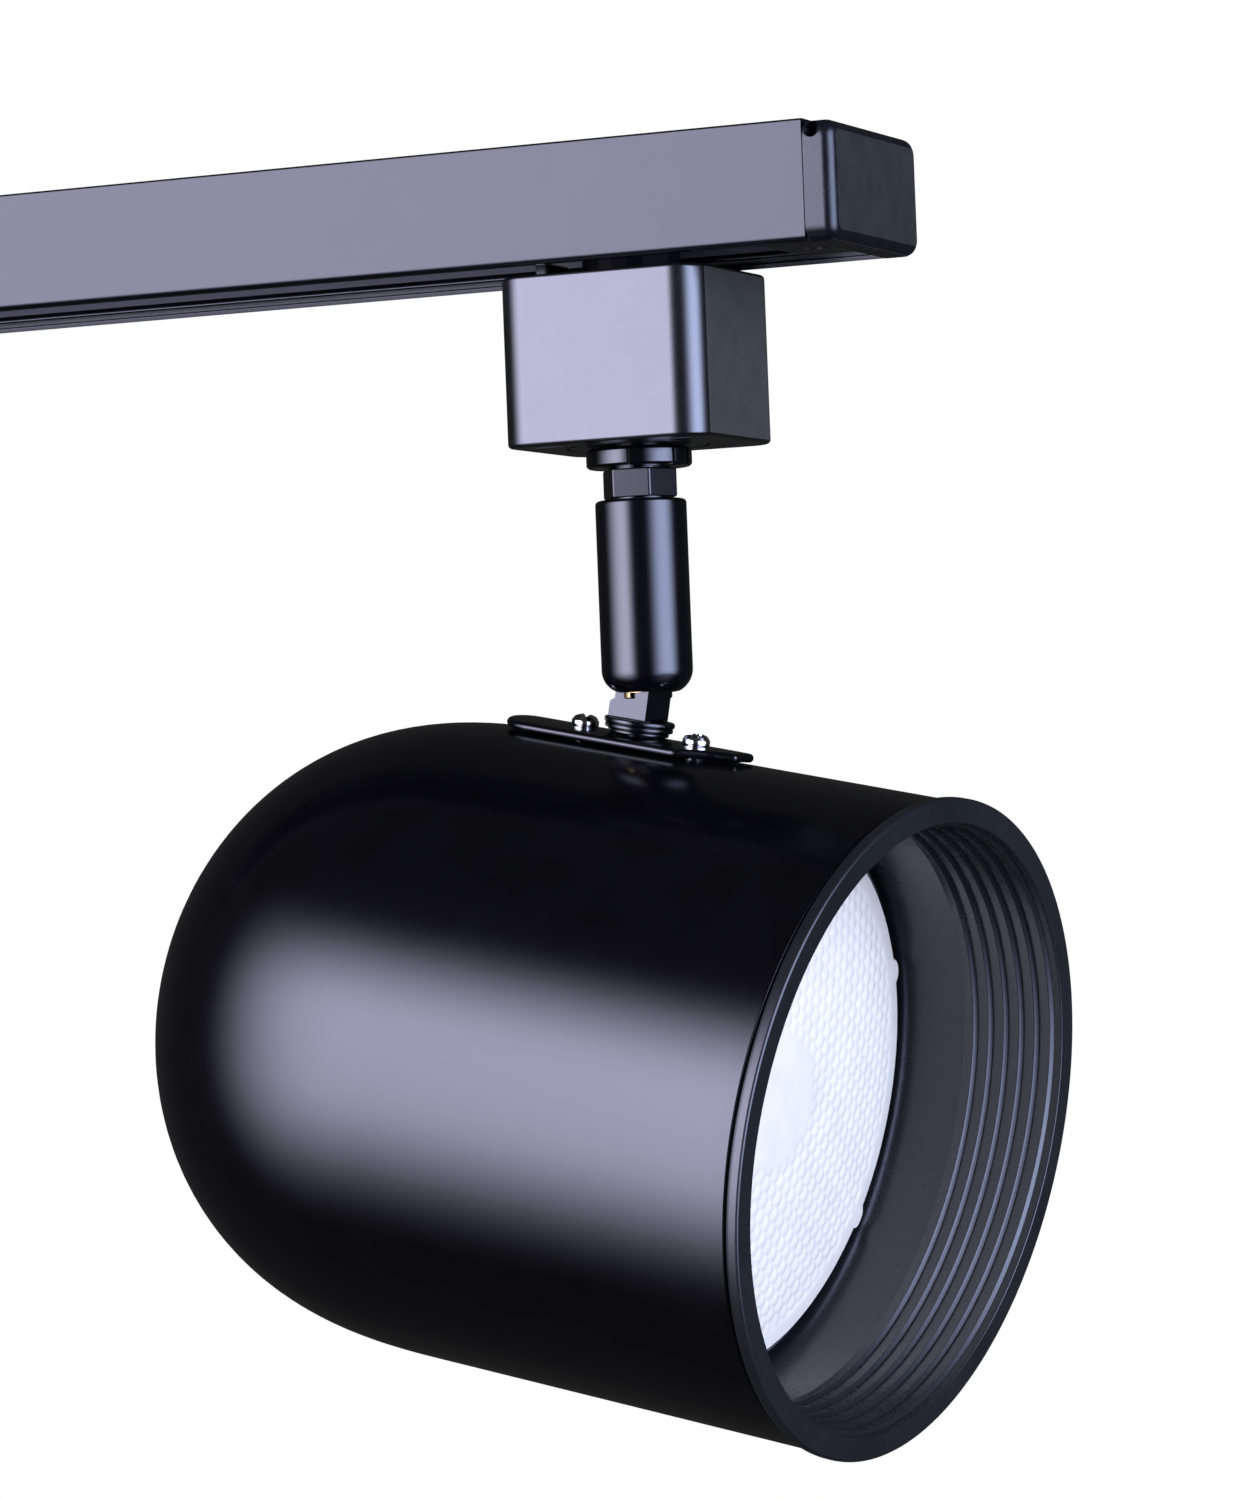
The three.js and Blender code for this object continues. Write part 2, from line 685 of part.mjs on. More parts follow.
// Two leads side by side, from the contacts' tails down to the top of the stem.
function upperLead(name, side, color) {
  const y = side * lead.spread;
  const high = busbarZ - contact.tail - 2 * lead.radius;
  const low = adapterFloor + nut.height + nipple.aboveNut + lead.radius;
  const curve = new THREE.CatmullRomCurve3([
    new THREE.Vector3(0, y, high),
    new THREE.Vector3(0, y, (high + low) / 2),
    new THREE.Vector3(0, y, low),
  ]);
  return node(name, wire(curve, lead.radius, lead.sides, lead.steps / 2), fibreSleeving(color));
}

// ---------------------------------------------------------------- stem

function stemNipple() {
  const low = knuckleTop - nipple.grip;
  const high = adapterFloor + nut.height + nipple.aboveNut;
  const tube = ring(nipple.radius, nipple.bore, low, high, ROUND_STEPS);
  const core = rod(nipple.radius - SINK, hexBottom - PAST, hexTop + PAST);
  const grip = minus(hexagon(nipple.hexRadius, hexBottom, hexTop).rotate([0, 0, nipple.hexTurn]), core);
  return node('stem_nipple', joined(tube, grip), blackEnamel());
}

function nippleLocknut() {
  const low = adapterFloor + GAP;
  const high = low + nut.height;
  const body = minus(hexagon(nut.radius, low, high), rod(nippleBore, low - PAST, high + PAST));
  return node('nipple_locknut', body, zincSteel());
}

// Quarter-round nose points, from the side down to the end face.
function noseArc(radius, end, nose, steps = 3) {
  return Array.from({ length: steps + 1 }, (_, i) => {
    const angle = (Math.PI / 2) * (1 - i / steps);
    return [radius - nose + nose * Math.sin(angle), end + nose - nose * Math.cos(angle)];
  });
}

function stemSleeve() {
  const outline = [
    [nippleBore, sleeveTop], [nippleBore, sleeveTop - sleeve.wall], [sleeveInner, sleeveTop - sleeve.wall],
    ...noseArc(sleeveInner, sleeveBottom, innerNose),
    ...noseArc(sleeve.radius, sleeveBottom, sleeve.nose).reverse(),
    [sleeve.radius, sleeveTop], [nippleBore, sleeveTop],
  ];
  const half = knuckle.forkGap / 2 + sleeve.slotRoom;
  const outside = sleeve.radius + PAST;
  const mouth = block([-outside, -half, sleeveBottom - PAST], [0, half, pivotZ + sleeve.slotRise]);
  const underside = block([-outside, -half, sleeveBottom - PAST], [forkFront, half, sleeveBottom + 2 * sleeve.wall]);
  const end = block([-outside, -outside, sleeveBottom - PAST], [outside, outside, sleeveBottom + sleeve.noseCut]);
  return node('stem_sleeve', minus(turned(outline), mouth, underside, end), blackEnamel());
}

// The brass fork: open below and behind, so that the bracket swings back, and walled in front.
function stemKnuckle() {
  const threadTop = knuckleTop - nipple.grip - GAP;
  const shoulder = noseArc(knuckleRadius, sleeveBottom + GAP, innerNose - GAP)
    .filter(([r]) => r > tipRadius);
  shoulder.push([tipRadius, sleeveBottom + sleeve.noseCut]);
  const outline = [
    [nippleBore, knuckleTop], [nippleBore, threadTop], [nipple.bore, threadTop], [nipple.bore, knuckleBottom],
    [tipRadius, knuckleBottom], ...shoulder.reverse(), [knuckleRadius, knuckleTop], [nippleBore, knuckleTop],
  ];
  const half = knuckle.forkGap / 2;
  const reach = knuckleRadius + PAST;
  const fork = block([-reach, -half, knuckleBottom - PAST], [forkFront, half, forkTop]);
  const pinHole = rod(pivot.pinRadius + GAP, -reach, reach, SCREW_STEPS, 'y').translate([0, 0, pivotZ]);
  return node('stem_knuckle', minus(turned(outline), fork, pinHole), brass());
}

function tiltPin() {
  const half = knuckleRadius - knuckle.pinInset;
  return node('tilt_pin', rod(pivot.pinRadius, -half, half, SCREW_STEPS, 'y'), zincSteel());
}

// ---------------------------------------------------------------- head, measured from the tilt pin

// Two ears on a foot, closed in front by a wall below the pin, on a hollow post.
function tiltBracket() {
  const r = bracket.earRadius;
  const step = r + bracket.step;
  const inner = bracketHalf - bracket.plate;
  const ear = new THREE.Shape();
  ear.moveTo(r, 0);
  ear.absarc(0, 0, r, 0, Math.PI);
  ear.lineTo(-r, bracketFoot + bracket.stepHeight);
  ear.lineTo(-step, bracketFoot + bracket.stepHeight - bracket.stepSlope);
  ear.lineTo(-step, bracketFoot);
  ear.lineTo(r, bracketFoot);
  const plates = [[-bracketHalf, -inner], [inner, bracketHalf]].map(([near, far]) => prism(ear, near, far, 'y'));
  const foot = block([-step, -bracketHalf, bracketFoot], [r, bracketHalf, bracketFoot + bracket.plate]);
  const front = block([r - bracket.plate, -bracketHalf, bracketFoot], [r, bracketHalf, -pivot.bushRadius - GAP]);
  const post = rod(stud.radius, strapUnder - nut.height - PAST, bracketFoot + SINK);
  const bore = rod(stud.bore, strapUnder - nut.height - 2 * PAST, bracketFoot + bracket.boreRise);
  const pinHole = rod(pivot.pinRadius + GAP, -bracketHalf - PAST, bracketHalf + PAST, SCREW_STEPS, 'y');
  const open = minus(joined(foot, post), bore);
  return node('tilt_bracket', minus(joined(...plates, front, open), pinHole), blackEnamel());
}

function tiltBush() {
  const half = bracketHalf - bracket.plate - GAP;
  const body = ring(pivot.bushRadius, pivot.pinRadius + GAP, -half, half, SCREW_STEPS, 'y');
  return node('tilt_bush', body, brass());
}

function bracketBushing() {
  const { radius, neck: inset, lowBead, slope, edge } = bushing;
  const bore = stud.radius + GAP;
  const low = plateTop + GAP / 2;
  const outline = [
    [bore, low], [radius - inset, low], [radius - inset, low + lowBead], [radius, low + lowBead + slope],
    [radius, bushingTop - edge], [radius - edge, bushingTop], [bore, bushingTop], [bore, low],
  ];
  return node('bracket_bushing', turned(outline), blackEnamel());
}

function bracketLocknut() {
  const high = strapUnder - GAP;
  const low = high - nut.height;
  const body = minus(hexagon(nut.radius - 1.2, low, high), rod(stud.radius + GAP, low - PAST, high + PAST));
  return node('bracket_locknut', body, zincSteel());
}

const screwXs = {
  rear: saddle.screwCentre - saddle.screwPitch / 2,
  front: saddle.screwCentre + saddle.screwPitch / 2,
};

// The holes through the saddle, the shell and the strap.
function headHoles() {
  const shankHole = saddleScrew.shankRadius + GAP;
  const low = strapUnder - PAST;
  return [
    rod(stud.radius + GAP, low, 0, ROUND_STEPS),
    ...Object.values(screwXs).map((x) => rod(shankHole, low, 0, SCREW_STEPS).translate([x, 0, 0])),
  ];
}

// A plate bent to the shell's curve, rounded at the back and drawn to a tongue in front.
function saddlePlate() {
  const half = saddle.width / 2;
  const inner = shellRadius + GAP;
  const outer = inner + saddle.thickness;
  const spread = 2 * Math.asin(half / inner);
  const [a0, a1] = [Math.PI / 2 - spread, Math.PI / 2 + spread];
  const section = new THREE.Shape();
  section.absarc(0, -axisDrop, outer, a0, a1);
  section.absarc(0, -axisDrop, inner, a1, a0, true);
  const back = saddle.centre - saddle.length / 2;
  const front = saddle.centre + saddle.length / 2;
  const tongueHalf = saddle.tongueWidth / 2;
  const bendX = front - saddle.tongueBend;
  const r = saddle.cornerRadius;
  const plan = new THREE.Shape();
  plan.moveTo(back + r, -half);
  plan.lineTo(front - saddle.tongue, -half);
  plan.quadraticCurveTo(bendX, -half, front, -tongueHalf);
  plan.lineTo(front, tongueHalf);
  plan.quadraticCurveTo(bendX, half, front - saddle.tongue, half);
  plan.lineTo(back + r, half);
  plan.absarc(back + r, half - r, r, Math.PI / 2, Math.PI);
  plan.absarc(back + r, -half + r, r, Math.PI, 1.5 * Math.PI);
  const bent = prism(section, back - PAST, front + PAST, 'x', 24);
  const cutOut = prism(plan, plateBottom - 2 * saddle.thickness, plateTop + PAST, 'z', 4);
  return node('saddle_plate', minus(bent.intersect(cutOut), ...headHoles()), blackEnamel());
}

// A screw with a domed head and a cross recess.
function saddleScrewMesh(name, x) {
  const { headRadius, head, rim, shankRadius, recess, recessReach, recessDepth, belowStrap } = saddleScrew;
  const seat = plateTop + SEAT;
  const tip = strapUnder - belowStrap;
  const top = seat + head;
  const outline = [
    [0, tip], [shankRadius, tip], [shankRadius, seat], [headRadius, seat], [headRadius, seat + rim],
    [headRadius * 0.8, top - 0.15 * head], [headRadius * 0.4, top], [0, top],
  ];
  const arm = headRadius * recessReach;
  const cross = joined(
    block([-arm, -recess / 2, top - recessDepth], [arm, recess / 2, top + PAST]),
    block([-recess / 2, -arm, top - recessDepth], [recess / 2, arm, top + PAST]),
  );
  const mesh = node(name, minus(turned(outline, 16), cross), brightChrome());
  mesh.position.x = x;
  return mesh;
}

// The round back: radius at a place along the axis, for a given full radius and depth.
function domeOutline(radius, depth) {
  return Array.from({ length: shell.domeSteps + 1 }, (_, i) => {
    const rise = i / shell.domeSteps;
    const k = Math.sin((Math.PI / 2) * rise);
    return [radius * Math.sqrt(Math.max(1 - k ** shell.domePower, 0)), -shell.domeStart - depth * k];
  });
}

function onAxis(mesh) {
  mesh.position.z = -axisDrop;
  return mesh;
}

function lampShell() {
  const outline = [
    ...domeOutline(shellRadius, domeLength).reverse(),
    [shellRadius, shellFront - shell.edge], [shellRadius - shell.edge / 2, shellFront], [shellInner, shellFront],
    ...domeOutline(shellInner, domeLength - shell.wall),
  ];
  const holes = headHoles().map((hole) => hole.translate([0, 0, axisDrop]));
  return onAxis(node('lamp_housing', minus(turned(outline, WIDE_STEPS, 'x'), ...holes), blackEnamel()));
}

// One bent strip: along under the shell's top, down the round back, and across behind the socket.
function socketStrap() {
  const line = [
    [strapX, -axisDrop - socket.screwOffset - strap.tail],
    [strapX, -axisDrop + socket.radius * strap.backRise],
    [-shell.domeStart + strap.bendInset, strapUnder],
    [strap.frontReach, strapUnder],
  ];
  const strip = prism(bentStrip(line, strap.thickness), -strap.width / 2, strap.width / 2, 'y');
  const screwHole = socket.screwRadius + GAP;
  const behind = strapX - strap.thickness - PAST;
  const fixings = [-1, 1].map((side) => rod(screwHole, behind, strapX + PAST, SCREW_STEPS, 'x')
    .translate([0, 0, -axisDrop + side * socket.screwOffset]));
  return node('socket_strap', minus(strip, ...headHoles(), ...fixings), zincSteel());
}

function socketBody() {
  const { radius, backBevel, backTaper, frontBevel, screwRadius, screwOffset } = socket;
  const outline = [
    [0, socketBack], [radius - backBevel, socketBack], [radius, socketBack + backTaper],
    [radius, socketFront - frontBevel], [radius - frontBevel, socketFront], [socketBore, socketFront],
    [socketBore, socketFloor], [0, socketFloor],
  ];
  const fixings = [-1, 1].map((side) => {
    const hole = rod(screwRadius + GAP, socketBack - PAST, socketFloor + PAST, SCREW_STEPS, 'x');
    return hole.translate([0, 0, side * screwOffset]);
  });
  const body = minus(turned(outline, ROUND_STEPS, 'x'), ...fixings);
  return onAxis(node('socket_body', body, porcelain()));
}

function socketShell() {
  const outer = socketBore - GAP;
  const { back, front } = socket.linerInset;
  const body = ring(outer, outer - socket.liner, socketFloor + back, socketFront - front, ROUND_STEPS, 'x');
  return onAxis(node('socket_shell', body, brass()));
}

function socketContact() {
  const { contactThickness, contactWidth, contactReach } = socket;
  const foot = socketFloor + GAP / 2;
  const rest = lampEnd - GAP - contactThickness;
  const line = [[foot, -contactReach], [foot, -contactReach / 2], [rest, 0], [rest, contactReach / 2]];
  const leaf = prism(bentStrip(line, -contactThickness), -contactWidth / 2, contactWidth / 2, 'y');
  return onAxis(node('socket_contact', leaf, brass()));
}

function socketScrew(name, side) {
  const { screwRadius, screwHeadExtra, screwHead } = socket;
  const seat = strapX - strap.thickness - SEAT;
  const headRadius = screwRadius + screwHeadExtra;
  const tip = socketFloor - GAP;
  const outline = [
    [0, seat - screwHead], [headRadius, seat - screwHead], [headRadius, seat],
    [screwRadius, seat], [screwRadius, tip], [0, tip],
  ];
  const mesh = onAxis(node(name, turned(outline, SCREW_STEPS, 'x'), zincSteel()));
  mesh.position.z += side * socket.screwOffset;
  return mesh;
}

// From the bracket's bore, over the lamp's back, to a terminal on the socket's side.
function lowerLead(name, side, color) {
  const [low, high] = [-axisDrop + socket.radius, strapUnder - nut.height];
  const drop = high - low;
  const endX = (socketFront + socketBack) / 2 - 4;
  const curve = new THREE.CatmullRomCurve3([
    new THREE.Vector3(0, side * 1.3, high - 0.2),
    new THREE.Vector3(-3, side * 2, high - drop * 0.16),
    new THREE.Vector3(endX * 0.35, side * 6, high - drop * 0.4),
    new THREE.Vector3(endX * 0.75, side * 9, high - drop * 0.75),
    new THREE.Vector3(endX, side * 9, low + 1.2),
  ]);
  return node(name, wire(curve, lead.radius, lead.sides, lead.steps), fibreSleeving(color));
}

// ---------------------------------------------------------------- trim ring with the stepped baffle

function baffleRing() {
  const mouth = shellRadius - baffle.mouthInset;
  const skirtOuter = shellInner - GAP;
  const lipOuter = shellRadius + baffle.lipOverhang;
  const steps = Array.from({ length: baffle.steps }, (_, i) => {
    const radius = mouth - i * baffle.stepRise;
    const x = trimFront - baffle.stepStart - i * baffle.stepPitch;
    return [[radius, x], [radius - baffle.stepNose, x - baffle.stepSlope]];
  }).flat();
  const skirtEnd = trimFront - baffle.skirtLength;
  const tailEnd = lensRim - baffle.tail / 2;
  const edge = baffle.lipEdge;
  const outline = [
    [mouth, trimFront], ...steps, [throatRadius, skirtEnd + edge], [throatRadius, tailEnd],
    [throatRadius + baffle.wall, tailEnd], [throatRadius + baffle.wall, skirtEnd],
    [skirtOuter, skirtEnd + baffle.wall], [skirtOuter, trimBack], [lipOuter - edge, trimBack],
    [lipOuter, trimBack + edge], [lipOuter, trimFront - edge], [lipOuter - edge, trimFront], [mouth, trimFront],
  ];
  return onAxis(node('baffle_ring', turned(outline, WIDE_STEPS, 'x'), blackEnamel()));
}

// A bowed leaf riveted outside the baffle's tail, which bears on the shell's wall.
function baffleSpringClip(index) {
  const inner = throatRadius + baffle.wall + GAP;
  const crest = shellInner - 2 * GAP - baffleClip.thickness;
  const front = trimFront - baffle.skirtLength - GAP;
  const back = front - baffleClip.length;
  const foot = baffleClip.foot;
  const line = [
    [back, inner], [back + foot, inner], [(front + back) / 2, crest], [front - foot, inner], [front, inner],
  ];
  const half = baffleClip.width / 2;
  const mesh = node(
    `baffle_clip_${index + 1}`,
    prism(bentStrip(line, baffleClip.thickness), -half, half, 'y'),
    zincSteel(),
  );
  mesh.rotation.x = (index / baffleClip.count) * 2 * Math.PI + Math.PI / 3;
  return onAxis(mesh);
}

// ---------------------------------------------------------------- lamp

// The bulb's outer outline from the rim back to the neck, pulled in by a wall thickness.
function bulbOutline(inset, steps = 5) {
  const rimBack = lensRim - lamp.rim;
  const neckX = baseStart + GAP + inset;
  return Array.from({ length: steps + 1 }, (_, i) => {
    const t = i / steps;
    const radius = lamp.neckRadius + (lamp.radius - lamp.neckRadius) * Math.sqrt(1 - t);
    return [radius - inset, rimBack + (neckX - rimBack) * t];
  });
}

function lampReflector() {
  const front = lensRim - GAP;
  const outline = [
    [0, baseStart + GAP], ...bulbOutline(0).reverse(), [lamp.radius, front],
    [lamp.radius - lamp.glass, front], ...bulbOutline(lamp.glass), [0, baseStart + GAP + lamp.glass],
  ];
  return onAxis(node('lamp_reflector', turned(outline, WIDE_STEPS, 'x'), mirroredGlass()));
}

function lensArc(crown, level, steps = 4) {
  return Array.from({ length: steps + 1 }, (_, i) => {
    const radius = (lensRadius * i) / steps;
    return [radius, level + crown * (1 - (radius / lensRadius) ** 2)];
  });
}

function lampLens() {
  const { lensCrown, lensThickness, lensEdge } = lamp;
  const under = lensArc(lensCrown - lensThickness, lensRim);
  const over = lensArc(lensCrown - lensEdge, lensRim + lensEdge).reverse();
  const outline = [...under, ...over];
  return onAxis(node('lamp_lens', turned(outline, WIDE_STEPS, 'x'), frostedGlass()));
}

function lampCapsule() {
  const { radius, stemRadius, stem, taper, tip, behindLens } = capsule;
  const front = lensRim - behindLens;
  const back = baseStart + lamp.glass + 2 * GAP;
  const outline = [
    [0, back], [stemRadius, back], [stemRadius, back + stem], [radius, back + stem + taper],
    [radius, front - tip], [radius / 2, front], [0, front],
  ];
  return onAxis(node('lamp_capsule', turned(outline, 16, 'x'), frostedGlass()));
}

function lampBase() {
  const inner = lamp.baseRadius - lamp.threadDepth - lamp.baseWall;
  const root = lamp.baseRadius - lamp.threadDepth;
  const threadStart = baseEnd + lamp.threadPitch / 2;
  const threads = Array.from({ length: lamp.threadTurns }, (_, i) => {
    const x = threadStart + i * lamp.threadPitch;
    return [[root, x], [lamp.baseRadius, x + lamp.threadPitch / 2]];
  }).flat();
  const outline = [
    [inner, baseEnd], [root, baseEnd], ...threads, [root, threadStart + lamp.threadTurns * lamp.threadPitch],
    [root, baseStart], [inner, baseStart], [inner, baseEnd],
  ];
  return onAxis(node('lamp_base', turned(outline, ROUND_STEPS, 'x'), brass()));
}

function lampInsulator() {
  const start = baseEnd - GAP;
  const end = lampEnd + lamp.contact + GAP;
  const outline = [[0, end], [lamp.contactRadius, end], [lamp.insulatorRadius, start], [0, start]];
  return onAxis(node('lamp_insulator', turned(outline, ROUND_STEPS, 'x'), greyInsulator()));
}

function lampContact() {
  const high = lampEnd + lamp.contact;
  const tipRadius = lamp.contactRadius * 0.7;
  const outline = [[0, lampEnd], [tipRadius, lampEnd], [lamp.contactRadius, high], [0, high]];
  return onAxis(node('lamp_contact', turned(outline, 16, 'x'), brass()));
}

// ---------------------------------------------------------------- assembly

function headGroup() {
  const head = new THREE.Group();
  head.position.set(0, 0, pivotZ);
  head.rotation.y = THREE.MathUtils.degToRad(aim.tilt);
  head.add(
    tiltBracket(), tiltBush(), bracketBushing(), bracketLocknut(), saddlePlate(),
    saddleScrewMesh('saddle_screw_rear', screwXs.rear), saddleScrewMesh('saddle_screw_front', screwXs.front),
    lampShell(), socketStrap(), socketBody(), socketShell(), socketContact(),
    socketScrew('socket_screw_upper', 1), socketScrew('socket_screw_lower', -1),
    lowerLead('lead_line_lower', -1, 0x141414), lowerLead('lead_neutral_lower', 1, 0xe8e6e0),
    baffleRing(), ...[0, 1, 2].map(baffleSpringClip),
    lampReflector(), lampLens(), lampCapsule(), lampBase(), lampInsulator(), lampContact(),
  );
  return head;
}

function stemGroup() {
  const stem = new THREE.Group();
  stem.rotation.z = THREE.MathUtils.degToRad(aim.pan);
  const pin = tiltPin();
  pin.position.z = pivotZ;
  stem.add(stemNipple(), nippleLocknut(), stemSleeve(), stemKnuckle(), pin, headGroup());
  return stem;
}

const group = new THREE.Group();
group.add(
  trackChannel(), trackLiner('liner_near', -1), trackLiner('liner_far', 1),
  trackBusbar('busbar_line', -1), trackBusbar('busbar_neutral', 1),
  endCap(), slottedScrew('end_cap_screw', [capScrewX, 0, lipBottom + smallScrew.sunk], 1, blackEnamel()),
  adapterHousing(), adapterLid(), adapterNeck(),
  sideContact('contact_line', -1), sideContact('contact_neutral', 1), groundContact(),
  ...[['lid_screw_rear', -1], ['lid_screw_front', 1]].map(([name, side]) => slottedScrew(
    name,
    [adapter.offset + side * lidScrewX, side * lidScrewY, adapterTop - smallScrew.sunk],
    -1,
    zincSteel(),
  )),
  latchTab(), latchReturnSpring(), swivelCollar(),
  upperLead('lead_line_upper', -1, 0x141414), upperLead('lead_neutral_upper', 1, 0xe8e6e0),
  stemGroup(),
);

export default group;
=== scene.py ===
"""The looks of the track spotlight: meshes, finishes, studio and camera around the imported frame."""

import json
import logging
import math
from dataclasses import dataclass
from enum import Enum
from typing import Callable, Sequence, Union

import bmesh
import bpy
import numpy as np
from mathutils import Matrix, Vector


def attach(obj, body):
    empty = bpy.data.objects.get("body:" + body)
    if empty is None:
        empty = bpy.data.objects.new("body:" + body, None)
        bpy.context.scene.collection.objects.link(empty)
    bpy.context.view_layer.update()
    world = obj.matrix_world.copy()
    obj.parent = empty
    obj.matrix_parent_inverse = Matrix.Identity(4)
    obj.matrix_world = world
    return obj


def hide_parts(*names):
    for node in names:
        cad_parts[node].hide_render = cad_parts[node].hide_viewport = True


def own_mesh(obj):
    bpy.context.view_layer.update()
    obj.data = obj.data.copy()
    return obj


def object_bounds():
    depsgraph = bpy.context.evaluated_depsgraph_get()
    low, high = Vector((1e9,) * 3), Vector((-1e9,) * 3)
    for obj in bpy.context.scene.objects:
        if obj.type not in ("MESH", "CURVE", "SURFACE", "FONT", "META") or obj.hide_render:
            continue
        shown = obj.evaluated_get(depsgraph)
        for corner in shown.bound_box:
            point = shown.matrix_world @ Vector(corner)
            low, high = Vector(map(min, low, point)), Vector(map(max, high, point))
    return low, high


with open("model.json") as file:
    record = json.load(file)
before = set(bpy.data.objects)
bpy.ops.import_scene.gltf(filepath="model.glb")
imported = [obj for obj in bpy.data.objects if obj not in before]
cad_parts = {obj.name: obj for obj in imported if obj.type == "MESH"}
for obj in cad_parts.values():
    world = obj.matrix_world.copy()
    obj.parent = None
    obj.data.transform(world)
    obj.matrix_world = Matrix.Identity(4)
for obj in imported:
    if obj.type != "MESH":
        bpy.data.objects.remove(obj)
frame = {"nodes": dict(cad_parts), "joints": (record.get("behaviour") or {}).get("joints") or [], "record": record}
cad_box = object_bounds()

log = logging.getLogger("track_spotlight")

MM = 0.001
ROUND = 96          # sides of a small turned piece
WIDE = 192          # sides of a large turned piece
GAP = 0.3           # room between pieces that touch, in millimetres
PAST = 1.0          # how far a cutter runs past what it cuts
STEM_BORE = 5.2     # radius of the holes that the swivel stem passes through
TUBE_BORE = 3.4     # radius of the bore through the stem's threaded tube
LEAD_RADIUS = 1.0   # radius of a sleeved lead
SMOOTH_ANGLE = math.radians(32)

Point = tuple[float, float]
Corner = Union[tuple[float, float], tuple[float, float, float]]
Triple = tuple[float, float, float]


class Axis(Enum):
    """The local axis that a piece is turned or pushed along."""

    X = 0
    Y = 1
    Z = 2


# ---------------------------------------------------------------- places


def joint(name: str) -> dict:
    """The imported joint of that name."""
    return next(row for row in frame["joints"] if row["name"] == name)


def place_at(origin: Vector, x_axis: Vector, y_axis: Vector) -> Matrix:
    """A matrix from millimetres in a local frame to metres in the row frame.

    Args:
        origin: The local frame's origin, in metres.
        x_axis: Where its X points.
        y_axis: Where its Y points.

    Returns:
        The matrix, with the millimetre scale in it.
    """
    x_axis = x_axis.normalized()
    y_axis = y_axis.normalized()
    turn = Matrix((x_axis, y_axis, x_axis.cross(y_axis))).transposed().to_4x4()
    return Matrix.Translation(origin) @ turn @ Matrix.Scale(MM, 4)


def track_place() -> Matrix:
    """The row frame itself, in millimetres."""
    return Matrix.Scale(MM, 4)


def stem_place() -> Matrix:
    """The swivel stem's frame: turned about Z with the head, its origin on the track's top."""
    tilt_axis = Vector(joint("head_tilt")["axis"])
    return place_at(Vector((0, 0, 0)), tilt_axis.cross(Vector((0, 0, 1))), tilt_axis)


def head_place() -> Matrix:
    """The head's frame: origin at the tilt pin, X along the lamp's axis, Y along the pin."""
    tilt = joint("head_tilt")
    return place_at(Vector(tilt["pos_m"]), Vector(joint("trim_pull")["axis"]), Vector(tilt["axis"]))


def extent(node: str, place: Matrix) -> tuple[Vector, Vector]:
    """A CAD node's lowest and highest corners in a local frame, in millimetres.

    Args:
        node: The CAD node's name.
        place: The local frame's matrix.

    Returns:
        The lowest and the highest corner.
    """
    back = place.inverted()
    points = [back @ vertex.co for vertex in frame["nodes"][node].data.vertices]
    low = Vector(min(p[i] for p in points) for i in range(3))
    high = Vector(max(p[i] for p in points) for i in range(3))
    return low, high


# ---------------------------------------------------------------- outlines


def arc(centre: Point, radius: float, start: float, end: float, steps: int = 8) -> list[Point]:
    """Points on a circle between two angles in degrees, both ends included."""
    angles = [math.radians(start + (end - start) * i / steps) for i in range(steps + 1)]
    return [(centre[0] + radius * math.cos(a), centre[1] + radius * math.sin(a)) for a in angles]


def rounded(corners: Sequence[Corner], steps: int = 5, closed: bool = True) -> list[Point]:
    """An outline whose corners are rounded where they name a radius.

    Args:
        corners: Points of two numbers, or three where the third rounds the corner.
        steps: Segments of each rounding.
        closed: Whether the last corner joins the first.

    Returns:
        The outline's points.
    """
    points: list[Point] = []
    count = len(corners)
    for i, corner in enumerate(corners):
        here = Vector(corner[:2])
        radius = corner[2] if len(corner) > 2 else 0
        if not radius or (not closed and i in (0, count - 1)):
            points.append((here.x, here.y))
            continue
        before = Vector(corners[i - 1][:2]) - here
        after = Vector(corners[(i + 1) % count][:2]) - here
        half = before.angle(after) / 2
        reach = min(radius / math.tan(half), before.length * 0.499, after.length * 0.499)
        fitted = reach * math.tan(half)
        middle = here + (before.normalized() + after.normalized()).normalized() * (fitted / math.sin(half))
        start = here + before.normalized() * reach - middle
        sweep = start.angle_signed(here + after.normalized() * reach - middle)
        for j in range(steps + 1):
            turned = start.copy()
            turned.rotate(Matrix.Rotation(-sweep * j / steps, 2))
            points.append((middle.x + turned.x, middle.y + turned.y))
    return points


def box_outline(low: Point, high: Point, radius: float, inset: float = 0, steps: int = 8) -> list[Point]:
    """A rectangle with rounded corners, pulled in by an inset.

    Args:
        low: Its lowest corner before the inset.
        high: Its highest corner before the inset.
        radius: The rounding of its corners before the inset.
        inset: How far every side is pulled in.
        steps: Segments of each rounding.

    Returns:
        The outline's points.
    """
    (a0, b0), (a1, b1) = low, high
    a0, b0, a1, b1 = a0 + inset, b0 + inset, a1 - inset, b1 - inset
    r = max(radius - inset, 0.05)
    return rounded([(a0, b0, r), (a1, b0, r), (a1, b1, r), (a0, b1, r)], steps)


# ---------------------------------------------------------------- meshes


def mesh_object(name: str, vertices: Sequence[Sequence[float]], faces: Sequence[Sequence[int]],
                place: Matrix) -> bpy.types.Object:
    """A linked object from points in a local frame, with clean outward faces and smooth shading.

    Args:
        name: The object's name.
        vertices: Its points in the local frame.
        faces: Its faces, as numbers of points.
        place: The local frame's matrix.

    Returns:
        The object.
    """
    mesh = bpy.data.meshes.new(name)
    mesh.from_pydata([place @ Vector(v) for v in vertices], [], faces)
    tidy_mesh(mesh)
    made = bpy.data.objects.new(name, mesh)
    bpy.context.scene.collection.objects.link(made)
    return made


